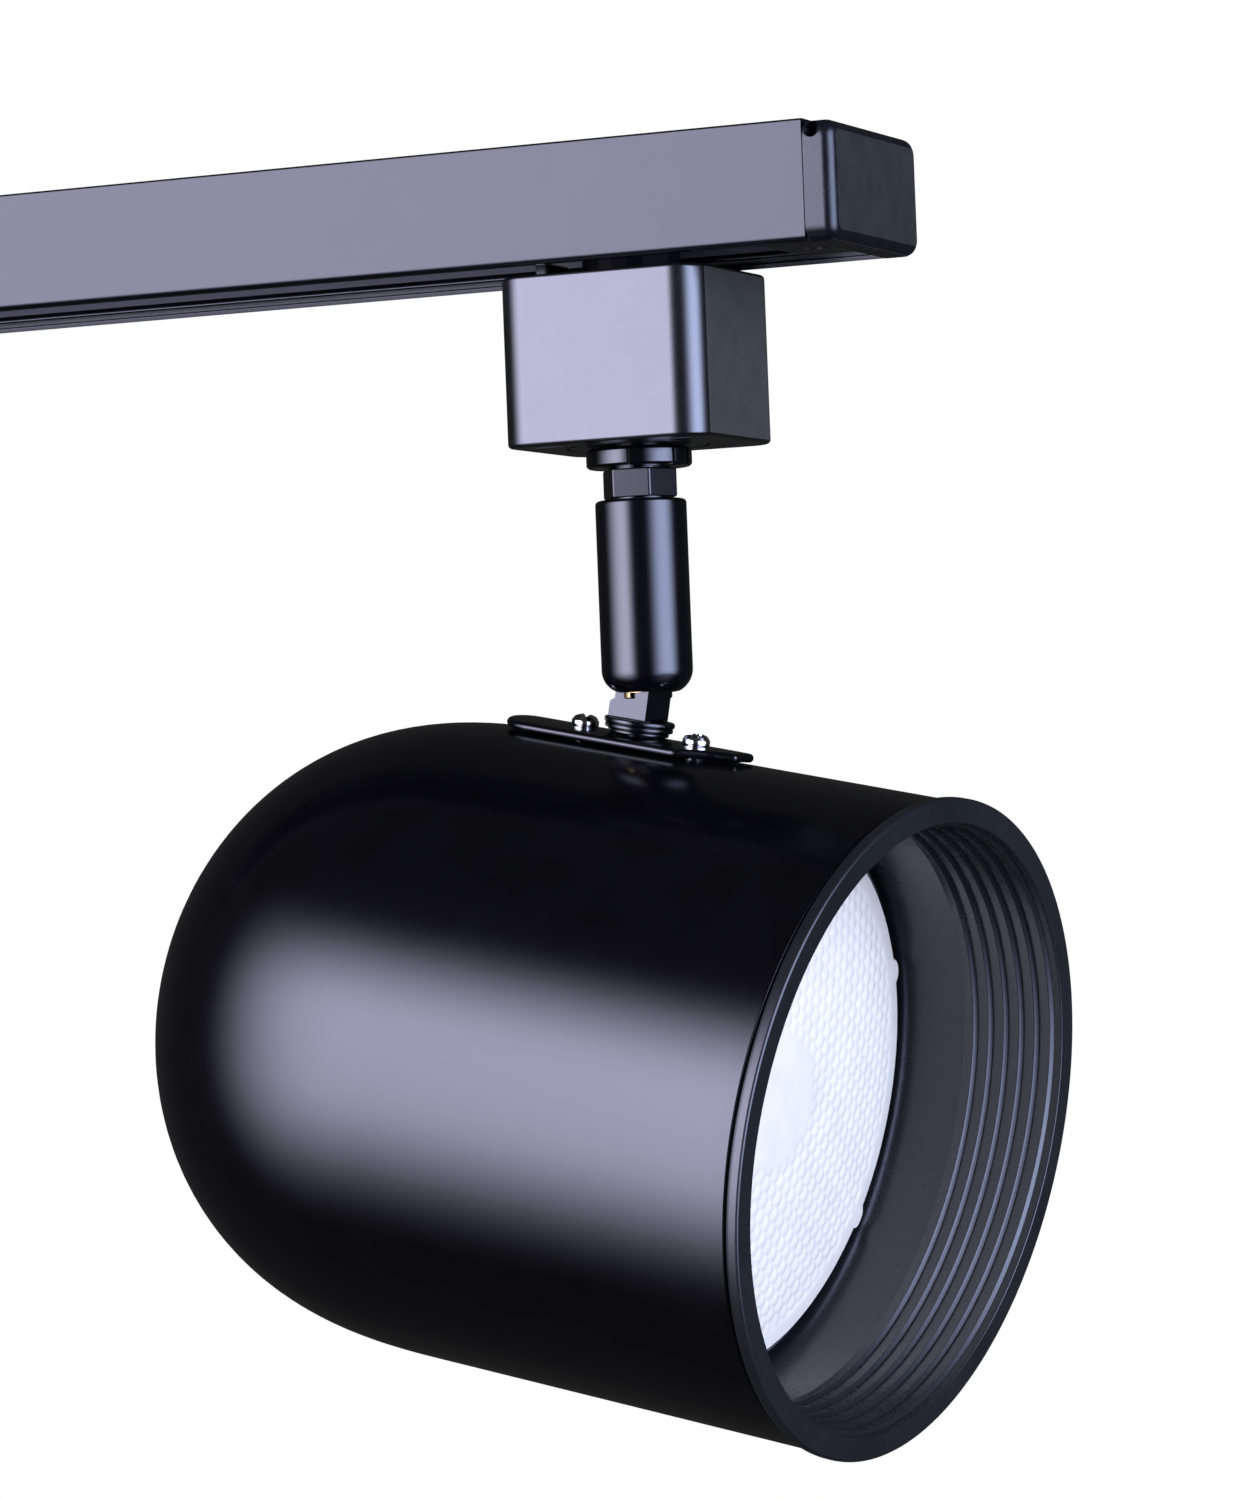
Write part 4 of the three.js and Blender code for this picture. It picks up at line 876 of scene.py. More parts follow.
@dataclass
class Adapter:
    """The box that slides along the track, with its collar, latch and leads."""

    wall: float = 2.0
    corner: float = 5.2
    edge: float = 0.7
    mark_depth: float = 0.25
    pad_drop: float = 6.0
    spring_wire: float = 0.25
    spring_turns: int = 4
    flat_angles: tuple[int, ...] = (12, 64, 90, 192, 244)
    tab_angle: float = 70.0

    def housing(self) -> None:
        """The moulded box with rounded corners, thumb window and shallow marks underneath."""
        place = track_place()
        low, high = extent("adapter_housing", place)
        outer = pillow("adapter_box", tuple(low), tuple(high), self.corner, self.edge, place, steps=6)
        hollow = pillow("hollow", (low.x + self.wall, low.y + self.wall, low.z + self.wall),
                        (high.x - self.wall, high.y - self.wall, high.z + 3), self.corner - self.wall,
                        0.3, place)
        stem_hole = rod("stem_hole", STEM_BORE, low.z - PAST, low.z + 4, place)
        tab_low, tab_high = extent("latch_tab", place)
        window = block("window", (low.x - PAST, tab_low.y - GAP, high.z - 17.3),
                       (low.x + self.wall + 0.1, tab_high.y + GAP, high.z - 5.7), place)
        under, depth = low.z - PAST, low.z + self.mark_depth
        marks = [block("mark", (x, y, under), (x + 5.5, y + 0.7, depth), place)
                 for x in (-14.0, 9.0) for y in (-13.0, -11.6, 9.5, 10.9)]
        ring_mark = revolve("ring_mark", [(11.4, under), (12.0, under), (12.0, depth), (11.4, depth)], place)
        body = cut(outer, hollow, stem_hole, window, ring_mark, *marks)
        settle(body, "adapter", BLACK_MOULDING, "adapter_housing")
        # The box's end faces get the lighter matte copy of the moulding, which is painted light.
        dress_ends(body, MATTE_LIT_MOULDING)

    def latch(self) -> None:
        """The thumb tab: a plate behind the window, a ribbed pad and a nib in the track's slot."""
        place = track_place()
        low, high = extent("latch_tab", place)
        box_low, box_high = extent("adapter_housing", place)
        plate_x = box_low.x + self.wall + GAP
        half = high.y
        pad_top = box_high.z - self.pad_drop
        plate = pillow("latch_body", (plate_x, -half, low.z), (high.x, half, box_high.z - 4.7),
                       0.4, 0.3, place)
        nib = pillow("latch_nib", (plate_x, -4.5, pad_top), (high.x, 4.5, high.z), 0.4, 0.3, place)
        pad = pillow("latch_pad", (low.x + 0.5, -half, pad_top - 8), (plate_x + 0.6, half, pad_top),
                     0.5, 0.4, place, Axis.X)
        ribs = [pillow("rib", (low.x, -half + 0.4, pad_top - 6.5 + 2.2 * i),
                       (low.x + 1.2, half - 0.4, pad_top - 5.5 + 2.2 * i), 0.3, 0.3, place, Axis.X)
                for i in range(3)]
        settle(join(plate, nib, pad, *ribs), "latch", BLACK_MOULDING, "latch_tab")

    def spring(self) -> None:
        """The coil that lifts the latch, given a mesh of its own."""
        place = track_place()
        low, high = extent("latch_spring", place)
        wire = self.spring_wire
        radius = (high.y - low.y) / 2 - wire
        centre = (low.x + high.x) / 2
        per_turn = 10
        points = []
        for i in range(self.spring_turns * per_turn + 1):
            angle = math.tau * i / per_turn
            height = low.z + wire + (high.z - low.z - 2 * wire) * i / (self.spring_turns * per_turn)
            points.append((centre + radius * math.cos(angle), radius * math.sin(angle), height))
        coil = settle(tube("latch_coil", points, wire, place, 10, 4), "adapter", ZINC_STEEL, "latch_spring")
        press = joint("latch_press")
        travel = press["range_m"][1] / MM
        1 - travel / (high.z - low.z)
        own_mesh(coil)

    def collar(self) -> None:
        """The swivel collar with its wrench flats, chamfered rim and stop tab."""
        place = track_place()
        low, high = extent("swivel_collar", place)
        radius = high.x
        outline = rounded([
            (STEM_BORE, low.z, 0.2), (radius - 0.4, low.z, 0.2), (radius, low.z + 0.4, 0.3),
            (radius, high.z - 0.5, 0.3), (radius - 0.5, high.z, 0.2), (STEM_BORE, high.z, 0.2),
        ])
        body = revolve("collar", outline, place)
        flats = []
        for angle in self.flat_angles:
            turn = place @ Matrix.Rotation(math.radians(angle), 4, "Z")
            flats.append(block("flat", (-0.25, -radius - PAST, low.z - PAST),
                               (0.25, -radius + 0.35, high.z - 0.6), turn))
        body = cut(body, *flats)
        turn = place @ Matrix.Rotation(math.radians(self.tab_angle), 4, "Z")
        tab = pillow("tab", (-1.4, -radius + 0.4, low.z - 0.15), (1.4, -radius + 1.9, low.z + 1.1),
                     0.25, 0.2, turn)
        settle(join(body, tab), "adapter", GLOSS_MOULDING, "swivel_collar")

    def leads(self) -> None:
        """The two leads from the contacts down to the stem."""
        place = track_place()
        for node, side, finish in (("lead_line_upper", -1, BLACK_SLEEVING),
                                   ("lead_neutral_upper", 1, WHITE_SLEEVING)):
            low, high = extent(node, place)
            points = [(0, side * 1.5, z) for z in (high.z, (high.z + low.z) / 2, low.z)]
            settle(tube(node.replace("lead", "wire"), points, LEAD_RADIUS, place), "adapter", finish, node)

    def build(self) -> None:
        """Makes every adapter piece."""
        self.housing()
        self.latch()
        self.spring()
        self.collar()
        self.leads()


@dataclass
class Stem:
    """The hexagonal nipple, its sleeve and the brass fork inside."""

    hex_turn: float = 8.0
    hex_radius: float = 6.4
    tube_radius: float = 4.9
    wall: float = 1.2
    nose: float = 4.2
    frame_cut: float = 0.6
    nose_cut: float = 0.35
    slot_half: float = 4.3
    mouth_rise: float = 3.9
    fork_half: float = 4.0
    fork_front: float = 4.6
    fork_rise: float = 5.6
    pin_hole: float = 1.9
    thread_length: float = 7.3
    tip_radius: float = 4.6
    reach: float = 20.0

    def nipple(self) -> None:
        """The threaded tube with a hexagonal grip."""
        place = stem_place()
        low, high = extent("stem_nipple", place)
        grip_high = extent("swivel_collar", place)[0].z - GAP
        grip_low = extent("stem_sleeve", place)[1].z + GAP
        tube_body = revolve("nipple", [(TUBE_BORE, low.z), (self.tube_radius, low.z),
                                       (self.tube_radius, high.z), (TUBE_BORE, high.z)], place)
        pan = math.degrees(math.atan2(place.col[0][1], place.col[0][0]))
        turn = place @ Matrix.Rotation(math.radians(self.hex_turn - pan), 4, "Z")
        angles = [math.radians(a) for a in range(0, 360, 60)]
        corners = [(self.hex_radius * math.cos(a), self.hex_radius * math.sin(a), 0.5) for a in angles]
        outline = rounded(corners, 4)
        soft = [(x * 0.97, y * 0.97) for x, y in outline]
        grip = loft("grip", [(grip_low, soft), (grip_low + 0.3, outline), (grip_high - 0.3, outline),
                             (grip_high, soft)], turn)
        bore = rod("bore", TUBE_BORE, low.z - PAST, high.z + PAST, place)
        settle(cut(join(tube_body, grip), bore), "stem", BLACK_ENAMEL, "stem_nipple")

    def sleeve(self) -> None:
        """The turned sleeve with a rounded nose, open at the back and underneath for the bracket."""
        place = stem_place()
        low, high = extent("stem_sleeve", place)
        radius = high.y
        inner = radius - self.wall
        end = low.z - self.frame_cut
        middle = radius - self.nose
        cut_angle = math.degrees(math.asin((self.nose - self.nose_cut) / self.nose))
        inner_nose = self.nose - self.wall
        inner_angle = math.degrees(math.asin((inner_nose - self.nose_cut) / inner_nose))
        outline = rounded([
            (STEM_BORE, high.z - self.wall, 0.1), (STEM_BORE, high.z, 0.15), (radius, high.z, 0.7),
            *arc((middle, end + self.nose), self.nose, 0, -cut_angle, 16),
            *arc((middle, end + inner_nose), inner_nose, -inner_angle, 0, 12),
            (inner, high.z - self.wall, 0.3),
        ], 10)
        body = revolve("sleeve", outline, place, sides=WIDE)
        half = self.slot_half
        pivot = extent("tilt_pin", place)
        top = (pivot[0].z + pivot[1].z) / 2 + self.mouth_rise
        mouth = prism("mouth", rounded([(-half, end - PAST), (half, end - PAST), (half, top, 2.5),
                                        (-half, top, 2.5)], 8), -self.reach, 0, place)
        under = block("under", (-self.reach, -half, end - PAST),
                      (self.fork_front, half, end + 2 * self.wall), place)
        settle(cut(body, mouth, under), "stem", BLACK_ENAMEL, "stem_sleeve")

    def knuckle(self) -> None:
        """The brass fork that holds the tilt pin, walled in front; its tips show at the sleeve's mouth."""
        place = stem_place()
        low, high = extent("stem_knuckle", place)
        sleeve_low, sleeve_high = extent("stem_sleeve", place)
        radius = high.y
        end = sleeve_low.z - self.frame_cut
        middle = sleeve_high.y - self.nose
        shoulder = radius - middle
        angle = math.degrees(math.acos((self.tip_radius - middle) / shoulder))
        thread = high.z - self.thread_length
        outline = rounded([
            (STEM_BORE, high.z, 0.2), (STEM_BORE, thread, 0.1), (TUBE_BORE, thread, 0.1),
            (TUBE_BORE, low.z, 0.2), (self.tip_radius, low.z, 0.3),
            *arc((middle, end + self.nose - self.wall), shoulder, -angle, 0, 8), (radius, high.z, 0.3),
        ], 8)
        body = revolve("knuckle", outline, place)
        pin_low, pin_high = extent("tilt_pin", place)
        pin_z = (pin_low.z + pin_high.z) / 2
        half, under, top = self.fork_half, low.z - PAST, pin_z + self.fork_rise
        fork = prism("fork", rounded([(-half, under), (half, under), (half, top, 1.2), (-half, top, 1.2)]),
                     -self.reach, self.fork_front, place)
        hole = rod("pin_hole", self.pin_hole, -10, 10, place, Axis.Y, (0, 0, pin_z))
        trimmed = block("trimmed", (-0.8, -6, under), (self.fork_front, 0, end + 0.3), place)
        settle(cut(body, fork, hole, trimmed), "stem", BRASS, "stem_knuckle")

    def build(self) -> None:
        """Makes every stem piece."""
        self.nipple()
        self.sleeve()
        self.knuckle()


@dataclass
class Head:
    """The lamp housing with its bracket, saddle, screws, holder and leads."""

    sheet: float = 1.0
    dome_power: float = 2.64
    dome_start: float = -15.6
    hole_radius: float = 4.5
    screw_hole: float = 2.2
    plate_thickness: float = 1.5
    bracket_half: float = 3.7
    bracket_sheet: float = 1.3
    ear_step: float = 0.9
    stud_radius: float = 4.2
    stud_bore: float = 2.7
    pin_hole: float = 1.9
    shank_radius: float = 1.9
    recess_half: float = 0.75
    recess_depth: float = 1.3
    holder_wall: float = 4.0

    def __post_init__(self) -> None:
        """Reads the housing's size from the frame."""
        self.place = head_place()
        low, high = extent("lamp_housing", self.place)
        self.radius = (high.y - low.y) / 2
        self.tip = low.x
        self.front = high.x
        self.axis_z = (low.z + high.z) / 2
        self.axis_place = self.place @ Matrix.Translation((0, 0, self.axis_z))
        plate_low, plate_high = extent("saddle_plate", self.place)
        self.plate_x = (plate_low.x, plate_high.x)
        self.plate_top = plate_high.z
        self.screws = [(lo.x + hi.x) / 2 for lo, hi in
                       (extent(node, self.place) for node in ("saddle_screw_rear", "saddle_screw_front"))]

    def dome(self, radius: float, depth: float, steps: int) -> list[Point]:
        """The round back's outline, from the side to the tip.

        Args:
            radius: The housing's radius.
            depth: How far the tip stands behind the straight side.
            steps: Segments of the outline.

        Returns:
            Points of (radius, along).
        """
        points = []
        for i in range(steps + 1):
            k = math.sin(math.pi / 2 * i / steps)
            points.append((radius * math.sqrt(max(1 - k ** self.dome_power, 0)), self.dome_start - depth * k))
        return points

    def housing(self) -> None:
        """The spun shell: a round back, a straight side and a rolled front edge."""
        depth = self.dome_start - self.tip
        inner = self.radius - self.sheet
        rim = rounded([
            (self.radius, self.front - 3), (self.radius, self.front - 1.5),
            (self.radius + 0.05, self.front, 0.45), (inner, self.front, 0.2), (inner, self.front - 3),
        ], 5, closed=False)
        outline = list(reversed(self.dome(self.radius, depth, 40))) + rim
        outline += self.dome(inner, depth - self.sheet, 40)
        body = revolve("housing", outline, self.axis_place, Axis.X, WIDE)
        settle(cut(body, *self.holes()), "head", BLACK_ENAMEL, "lamp_housing")

    def holes(self) -> list[bpy.types.Object]:
        """Cutters for the stud's hole and the two screws' holes."""
        low = self.plate_top - 12
        sizes = [(0, self.hole_radius)] + [(x, self.screw_hole) for x in self.screws]
        return [rod("hole", radius, low, 0, self.place, centre=(x, 0, 0)) for x, radius in sizes]

    def saddle(self) -> None:
        """The plate bent to the housing's curve, with turned edges and a drawn-out tongue in front."""
        back, front = self.plate_x
        low, high = extent("saddle_plate", self.place)
        inner = self.radius + GAP
        half = inner * math.asin((high.y - low.y) / 2 / inner)
        levels = pillow_levels(0, self.plate_thickness, 0.7, 0.7, 6)
        sections = [(z, self.plan(back, front, half, inset)) for z, inset in levels]
        body = wrapped(loft("saddle", sections, Matrix.Identity(4)), inner, self.axis_z, self.place)
        settle(cut(body, *self.holes()), "head", BLACK_ENAMEL, "saddle_plate")

    @staticmethod
    def plan(back: float, front: float, half: float, inset: float) -> list[Point]:
        """The saddle seen from above: rounded at the back, a tongue in front.

        Args:
            back: Where it starts.
            front: Where its tongue ends.
            half: Half its width.
            inset: How far the outline is pulled in.

        Returns:
            The outline's points.
        """
        h = half - inset
        b, f = back + inset, front - inset
        return rounded([(b, -h, 6), (f - 9 + inset, -h, 3), (f - 4, -h * 0.55, 5), (f, -3 + inset * 0.5, 0.8),
                        (f, 3 - inset * 0.5, 0.8), (f - 4, h * 0.55, 5), (f - 9 + inset, h, 3), (b, h, 6)], 8)

    def bushing(self) -> None:
        """The turned bushing between the bracket and the saddle, in stacked beads."""
        low, high = extent("bracket_bushing", self.place)
        bore, wide, z = self.hole_radius, high.y, low.z
        outline = rounded([
            (bore, z, 0.1), (wide - 0.8, z, 0.25), (wide - 0.8, z + 0.6, 0.2), (wide - 1.2, z + 0.65, 0.05),
            (wide - 0.2, z + 0.75, 0.3), (wide - 0.2, z + 1.45, 0.3), (wide - 0.6, z + 1.5, 0.05),
            (wide, z + 1.6, 0.35), (wide, high.z, 0.35), (bore, high.z, 0.1),
        ], 5)
        settle(revolve("bushing", outline, self.place), "head", BLACK_ENAMEL, "bracket_bushing")

    def bracket(self) -> None:
        """The stirrup that hangs from the tilt pin, closed in front by a web, on a hollow stud."""
        low, high = extent("tilt_bracket", self.place)
        reach = high.z
        foot = extent("bracket_bushing", self.place)[1].z + GAP / 2
        outer, sheet, step = self.bracket_half, self.bracket_sheet, reach + self.ear_step
        ear = [(foot, -step, 0.3), (foot + 2.4, -step, 0.6), (foot + 3.0, -reach, 0.5)]
        outline = rounded(ear, 4, closed=False)
        outline += [(0, -reach)] + arc((0, 0), reach, 270, 450, 24)[1:] + [(foot, reach)]
        plates = []
        for side in (-1, 1):
            near, far = sorted((side * outer, side * (outer - sheet)))
            plates.append(prism("bracket", outline, near, far, self.place, Axis.Y))
        base = pillow("foot", (-step, -outer, foot), (reach, outer, foot + sheet), 0.8, 0.25, self.place)
        stud = rod("stud", self.stud_radius, low.z, foot + 0.5, self.place)
        bore = rod("bore", self.stud_bore, low.z - PAST, foot + 3, self.place)
        pin_hole = rod("pin_hole", self.pin_hole, -10, 10, self.place, Axis.Y)
        web = pillow("web", (reach - sheet, -outer, foot), (reach, outer, -3), 0.5, 0.25, self.place)
        body = cut(join(*plates, web, base, stud), bore, pin_hole)
        settle(body, "head", BLACK_ENAMEL, "tilt_bracket")

    def screw(self, node: str, turn: float) -> None:
        """A pan-head screw with a cross recess.

        Args:
            node: The CAD screw that it stands for.
            turn: Where its recess points, in degrees.
        """
        low, high = extent(node, self.place)
        centre = self.place @ Matrix.Translation(((low.x + high.x) / 2, 0, 0))
        seat = self.plate_top + 0.05
        top, radius = high.z, (high.x - low.x) / 2
        crown = [(radius * math.sin(a), top - 0.55 * radius * (1 - math.cos(a)))
                 for a in (math.radians(d) for d in range(0, 58, 6))]
        shank, slot = self.shank_radius, self.recess_half
        outline = [(0, low.z), (shank - 0.3, low.z), (shank, low.z + 0.4), (shank, seat)]
        outline += rounded([(shank, seat), (radius, seat, 0.25), (radius, seat + 0.8, 0.3), crown[-1]],
                           5, closed=False)
        outline += list(reversed(crown[:-1]))
        body = revolve(node.replace("screw", "fixing"), outline, centre)
        turned = centre @ Matrix.Rotation(math.radians(turn), 4, "Z")
        arms = []
        for angle in (0, 90):
            cross = turned @ Matrix.Rotation(math.radians(angle), 4, "Z")
            deep = top - self.recess_depth
            arms.append(prism("arm", [(-slot, top + PAST), (slot, top + PAST), (0.42, deep), (-0.42, deep)],
                              -1.9, 1.9, cross))
        settle(cut(body, *arms), "head", BRIGHT_CHROME, node)

    def leads(self) -> None:
        """The two leads from the hollow stud, over the lamp's back, to the holder."""
        holder_low, holder_high = extent("socket_body", self.place)
        for node, side, finish in (("lead_line_lower", -1, BLACK_SLEEVING),
                                   ("lead_neutral_lower", 1, WHITE_SLEEVING)):
            low, high = extent(node, self.place)
            drop = high.z - holder_high.z
            end = (holder_low.x + holder_high.x) / 2 - 4
            points = [(0, side * 1.3, high.z), (-3, side * 2, high.z - drop * 0.16),
                      (end * 0.35, side * 6, high.z - drop * 0.4),
                      (end * 0.75, side * 9, high.z - drop * 0.75), (end, side * 9, holder_high.z + 1.2)]
            wire = tube(node.replace("lead", "wire"), points, LEAD_RADIUS, self.place)
            settle(wire, "head", finish, node)

    def holder(self) -> None:
        """The glazed porcelain holder with its rounded mouth."""
        low, high = extent("socket_body", self.place)
        radius = (high.y - low.y) / 2
        wall = self.holder_wall
        outline = rounded([
            (0, low.x), (radius - 3, low.x, 1.5), (radius, low.x + 5, 3), (radius, high.x, 1.2),
            (radius - wall, high.x, 1.0), (radius - wall, low.x + wall, 0.5), (0, low.x + wall),
        ], 6, closed=False)
        body = revolve("holder", outline, self.axis_place, Axis.X)
        fixings = [rod("fixing", 1.7, low.x - PAST, low.x + 5, self.axis_place, Axis.X, (0, 0, side * 8.0))
                   for side in (-1, 1)]
        settle(cut(body, *fixings), "head", PORCELAIN, "socket_body")

    def build(self) -> None:
        """Makes every head piece."""
        self.housing()
        self.saddle()
        self.bushing()
        self.bracket()
        self.screw("saddle_screw_rear", 20)
        self.screw("saddle_screw_front", 50)
        self.leads()
        self.holder()


@dataclass
class Trim:
    """The trim ring with its stepped baffle."""

    lip: float = 2.2
    pitch: float = 2.8
    rise: float = 0.28
    steps: int = 6
    throat: float = 48.7
    wall: float = 1.2
    skirt: float = 18.5
    face: float = 4.1
    skirt_inset: float = 2.0

    def build(self) -> None:
        """Turns the ring: a flat face, a band, a skirt inside the housing and the baffle's steps."""
        place = head_place()
        low, high = extent("baffle_ring", place)
        axis_z = (low.z + high.z) / 2
        outer = (high.y - low.y) / 2
        front = high.x
        mouth = outer - self.face
        skirt_radius = outer - self.skirt_inset
        back = front - self.lip
        steps: list[Corner] = []
        for i in range(self.steps):
            radius = mouth - i * self.rise
            x = front - 1.5 - i * self.pitch
            steps += [(radius, x, 0.1), (radius - 0.75, x - 0.45, 0.15)]
        skirt_x = front - self.skirt
        outline = rounded([
            (mouth, front, 0.25), *steps, (self.throat, skirt_x + 0.6, 0.3), (self.throat, low.x, 0.3),
            (self.throat + self.wall, low.x, 0.3), (self.throat + self.wall, skirt_x, 0.2),
            (skirt_radius, skirt_x + 1, 0.2), (skirt_radius, back, 0.15), (outer - 0.1, back, 0.3),
            (outer, back + 0.6, 0.3), (outer, front, 0.55),
        ], 4)
        body = revolve("trim_ring", outline, place @ Matrix.Translation((0, 0, axis_z)), Axis.X, 256)
        settle(body, "trim", BAFFLE_ENAMEL, "baffle_ring")


@dataclass
class Lamp:
    """The reflector lamp: bulb, stippled lens and screw base."""

    glass: float = 2.0
    stipple: float = 2.75
    stipple_depth: float = 0.34
    clear_centre: float = 10.5
    clear_rim: float = 3.4
    crown: float = 5.0
    bumps: tuple[float, ...] = (26.0, 150.0, 210.0, 330.0)
    bump_height: float = 1.15
    bump_half_angle: float = 2.6
    neck: float = 14.6
    bead: float = 3.7
    thread_depth: float = 0.7
    thread_pitch: float = 3.6
    thread_turns: int = 4

    def __post_init__(self) -> None:
        """Reads the lamp's place from the frame."""
        place = head_place()
        low, high = extent("lamp_reflector", place)
        self.place = place @ Matrix.Translation((0, 0, (low.z + high.z) / 2))
        self.radius = (high.y - low.y) / 2
        self.back = low.x
        self.front = high.x
        lens_low, lens_high = extent("lamp_lens", place)
        self.lens_radius = (lens_high.y - lens_low.y) / 2
        self.rim = lens_low.x

    def bulb(self) -> None:
        """The aluminised bowl, hollow, with a rolled front rim."""
        rim_back, inner = self.front - self.bead, self.radius - self.glass
        outline = [(0.0, self.back)] + list(reversed(self.bowl(0)))
        outline += rounded([(self.radius, rim_back), (self.radius, self.front, 0.8),
                            (inner, self.front, 0.4), (inner, rim_back)], 5, closed=False)
        outline += self.bowl(self.glass) + [(0.0, self.back + self.glass)]
        settle(revolve("bulb", outline, self.place, Axis.X, WIDE), "lamp", MIRRORED_GLASS, "lamp_reflector")

    def bowl(self, inset: float, steps: int = 28) -> list[Point]:
        """The bowl's outline from its rim back to its neck.

        Args:
            inset: How far it lies inside the outer face.
            steps: Segments of the outline.

        Returns:
            Points of (radius, along).
        """
        rim_back = self.front - self.bead
        points = []
        for i in range(steps + 1):
            t = i / steps
            radius = self.neck + (self.radius - self.neck) * math.sqrt(1 - t)
            points.append((radius - inset, rim_back + (self.back + inset - rim_back) * t))
        return points

    def stippled_height(self, y: np.ndarray, z: np.ndarray) -> np.ndarray:
        """How far the lens's face stands forward of its rim.

        Args:
            y: Places across the lens.
            z: Places up the lens.

        Returns:
            The height at each place.
        """
        radius = np.hypot(y, z)
        smooth = 0.8 + (self.crown - 0.8) * (1 - (radius / self.lens_radius) ** 2)
        row = self.stipple * math.sqrt(3)
        nearest = np.full_like(y, 1e9)
        for shift in (0.0, 0.5):
            dy = (y / row + shift + 0.5) % 1 - 0.5
            dz = (z / self.stipple + shift + 0.5) % 1 - 0.5
            nearest = np.minimum(nearest, np.hypot(dy * row, dz * self.stipple))
        pillow_depth = -self.stipple_depth * (nearest / (self.stipple * 0.577)) ** 2
        rim = np.clip((self.lens_radius - self.clear_rim - radius) / 1.0, 0, 1)
        centre = np.clip((radius - self.clear_centre) / 2.0, 0, 1)
        return smooth + pillow_depth * rim * centre

    def lens(self) -> None:
        """The pressed lens: hexagonal stipples between a clear centre and a clear rim with four bumps."""
        rings, spokes = 116, 640
        radii = np.linspace(0.35, self.lens_radius - 0.5, rings)
        angles = np.linspace(0, math.tau, spokes, endpoint=False)
        r, a = np.meshgrid(radii, angles, indexing="ij")
        y, z = r * np.cos(a), r * np.sin(a)
        x = self.rim + self.stippled_height(y, z)
        swell = np.zeros_like(a)
        for bump in self.bumps:
            off = (np.degrees(a) - bump + 180) % 360 - 180
            swell = np.maximum(swell, np.sqrt(np.clip(1 - (off / self.bump_half_angle) ** 2, 0, 1)))
        edge = np.clip((r - (self.lens_radius - 2.6)) / 2.1, 0, 1)
        reach = 1 + swell * edge * self.bump_height / self.lens_radius
        front = np.stack([x, y * reach, z * reach], -1).reshape(-1, 3)
        swollen = 1 + swell[-1] * self.bump_height / self.lens_radius
        edges = [((self.lens_radius - inset) * swollen, self.rim + depth)
                 for inset, depth in ((0.12, 0.35), (0.0, 0.1), (0.0, -0.6))]
        edges += [(self.lens_radius - 2.0, self.rim - 0.6), (0.35, self.rim + self.crown - 2.6)]
        rows = [np.stack([np.full(spokes, along), radius * np.cos(angles), radius * np.sin(angles)], -1)
                for radius, along in edges]
        vertices = np.concatenate([front, *rows]).tolist()
        faces: list[list[int]] = []
        total = rings + len(rows)
        for i in range(total - 1):
            for j in range(spokes):
                k = (j + 1) % spokes
                faces.append([i * spokes + j, i * spokes + k, (i + 1) * spokes + k, (i + 1) * spokes + j])
        faces.append(list(range(spokes)))
        faces.append(list(range((total - 1) * spokes, total * spokes)))
        piece = mesh_object("lens", vertices, faces, self.place)
        settle(piece, "lamp", FROSTED_GLASS, "lamp_lens")

    def base(self) -> None:
        """The rolled screw shell of the lamp."""
        low, high = extent("lamp_base", self.place)
        depth = self.thread_depth
        root = high.y - depth
        per_turn = 12
        threads: list[Point] = []
        for i in range(self.thread_turns * per_turn + 1):
            x = low.x + 2 + self.thread_pitch * i / per_turn
            threads.append((root + depth * (0.5 - 0.5 * math.cos(math.tau * i / per_turn)), x))
        outline = [(root - 1, low.x), (root, low.x)] + threads + [(root, high.x), (root - 1, high.x)]
        settle(revolve("screw_base", outline, self.place, Axis.X), "lamp", BRASS, "lamp_base")

    def build(self) -> None:
        """Makes every lamp piece that can be seen."""
        self.bulb()
        self.lens()
        self.base()


# ---------------------------------------------------------------- studio and camera


@dataclass(frozen=True)
class Falloff:
    """A soft band of directions: where it is half bright at each side, and how wide each side fades."""

    low: float
    low_edge: float
    high: float
    high_edge: float

    def mask(self, bench: Bench, angle: Signal) -> Signal:
        """How bright the band is at an angle."""
        above = self.side(bench, angle, self.high, self.high_edge)
        return above * self.side(bench, angle * -1, -self.low, self.low_edge)

    @staticmethod
    def side(bench: Bench, angle: Signal, limit: float, edge: float) -> Signal:
        """One below a limit and nothing past it.

        Args:
            bench: Where the nodes are added.
            angle: The angle that is tested.
            limit: Where the band is half bright, in degrees.
            edge: How wide it fades, in degrees.

        Returns:
            The band's brightness on this side.
        """
        low, high = math.radians(limit - edge / 2), math.radians(limit + edge / 2)
        settings = {"interpolation_type": "SMOOTHERSTEP"}
        return bench.make("ShaderNodeMapRange", settings, {0: angle, 1: low, 2: high, 3: 1.0, 4: 0.0})


@dataclass(frozen=True)
class SoftLight:
    """A soft panel of light in the sky, by direction in degrees, with its brightness per colour."""

    across: Falloff
    upright: Falloff
    glow: Triple

    def mask(self, bench: Bench, azimuth: Signal, elevation: Signal) -> Signal:
        """How much of the panel is seen in a direction."""
        return self.across.mask(bench, azimuth) * self.upright.mask(bench, elevation)


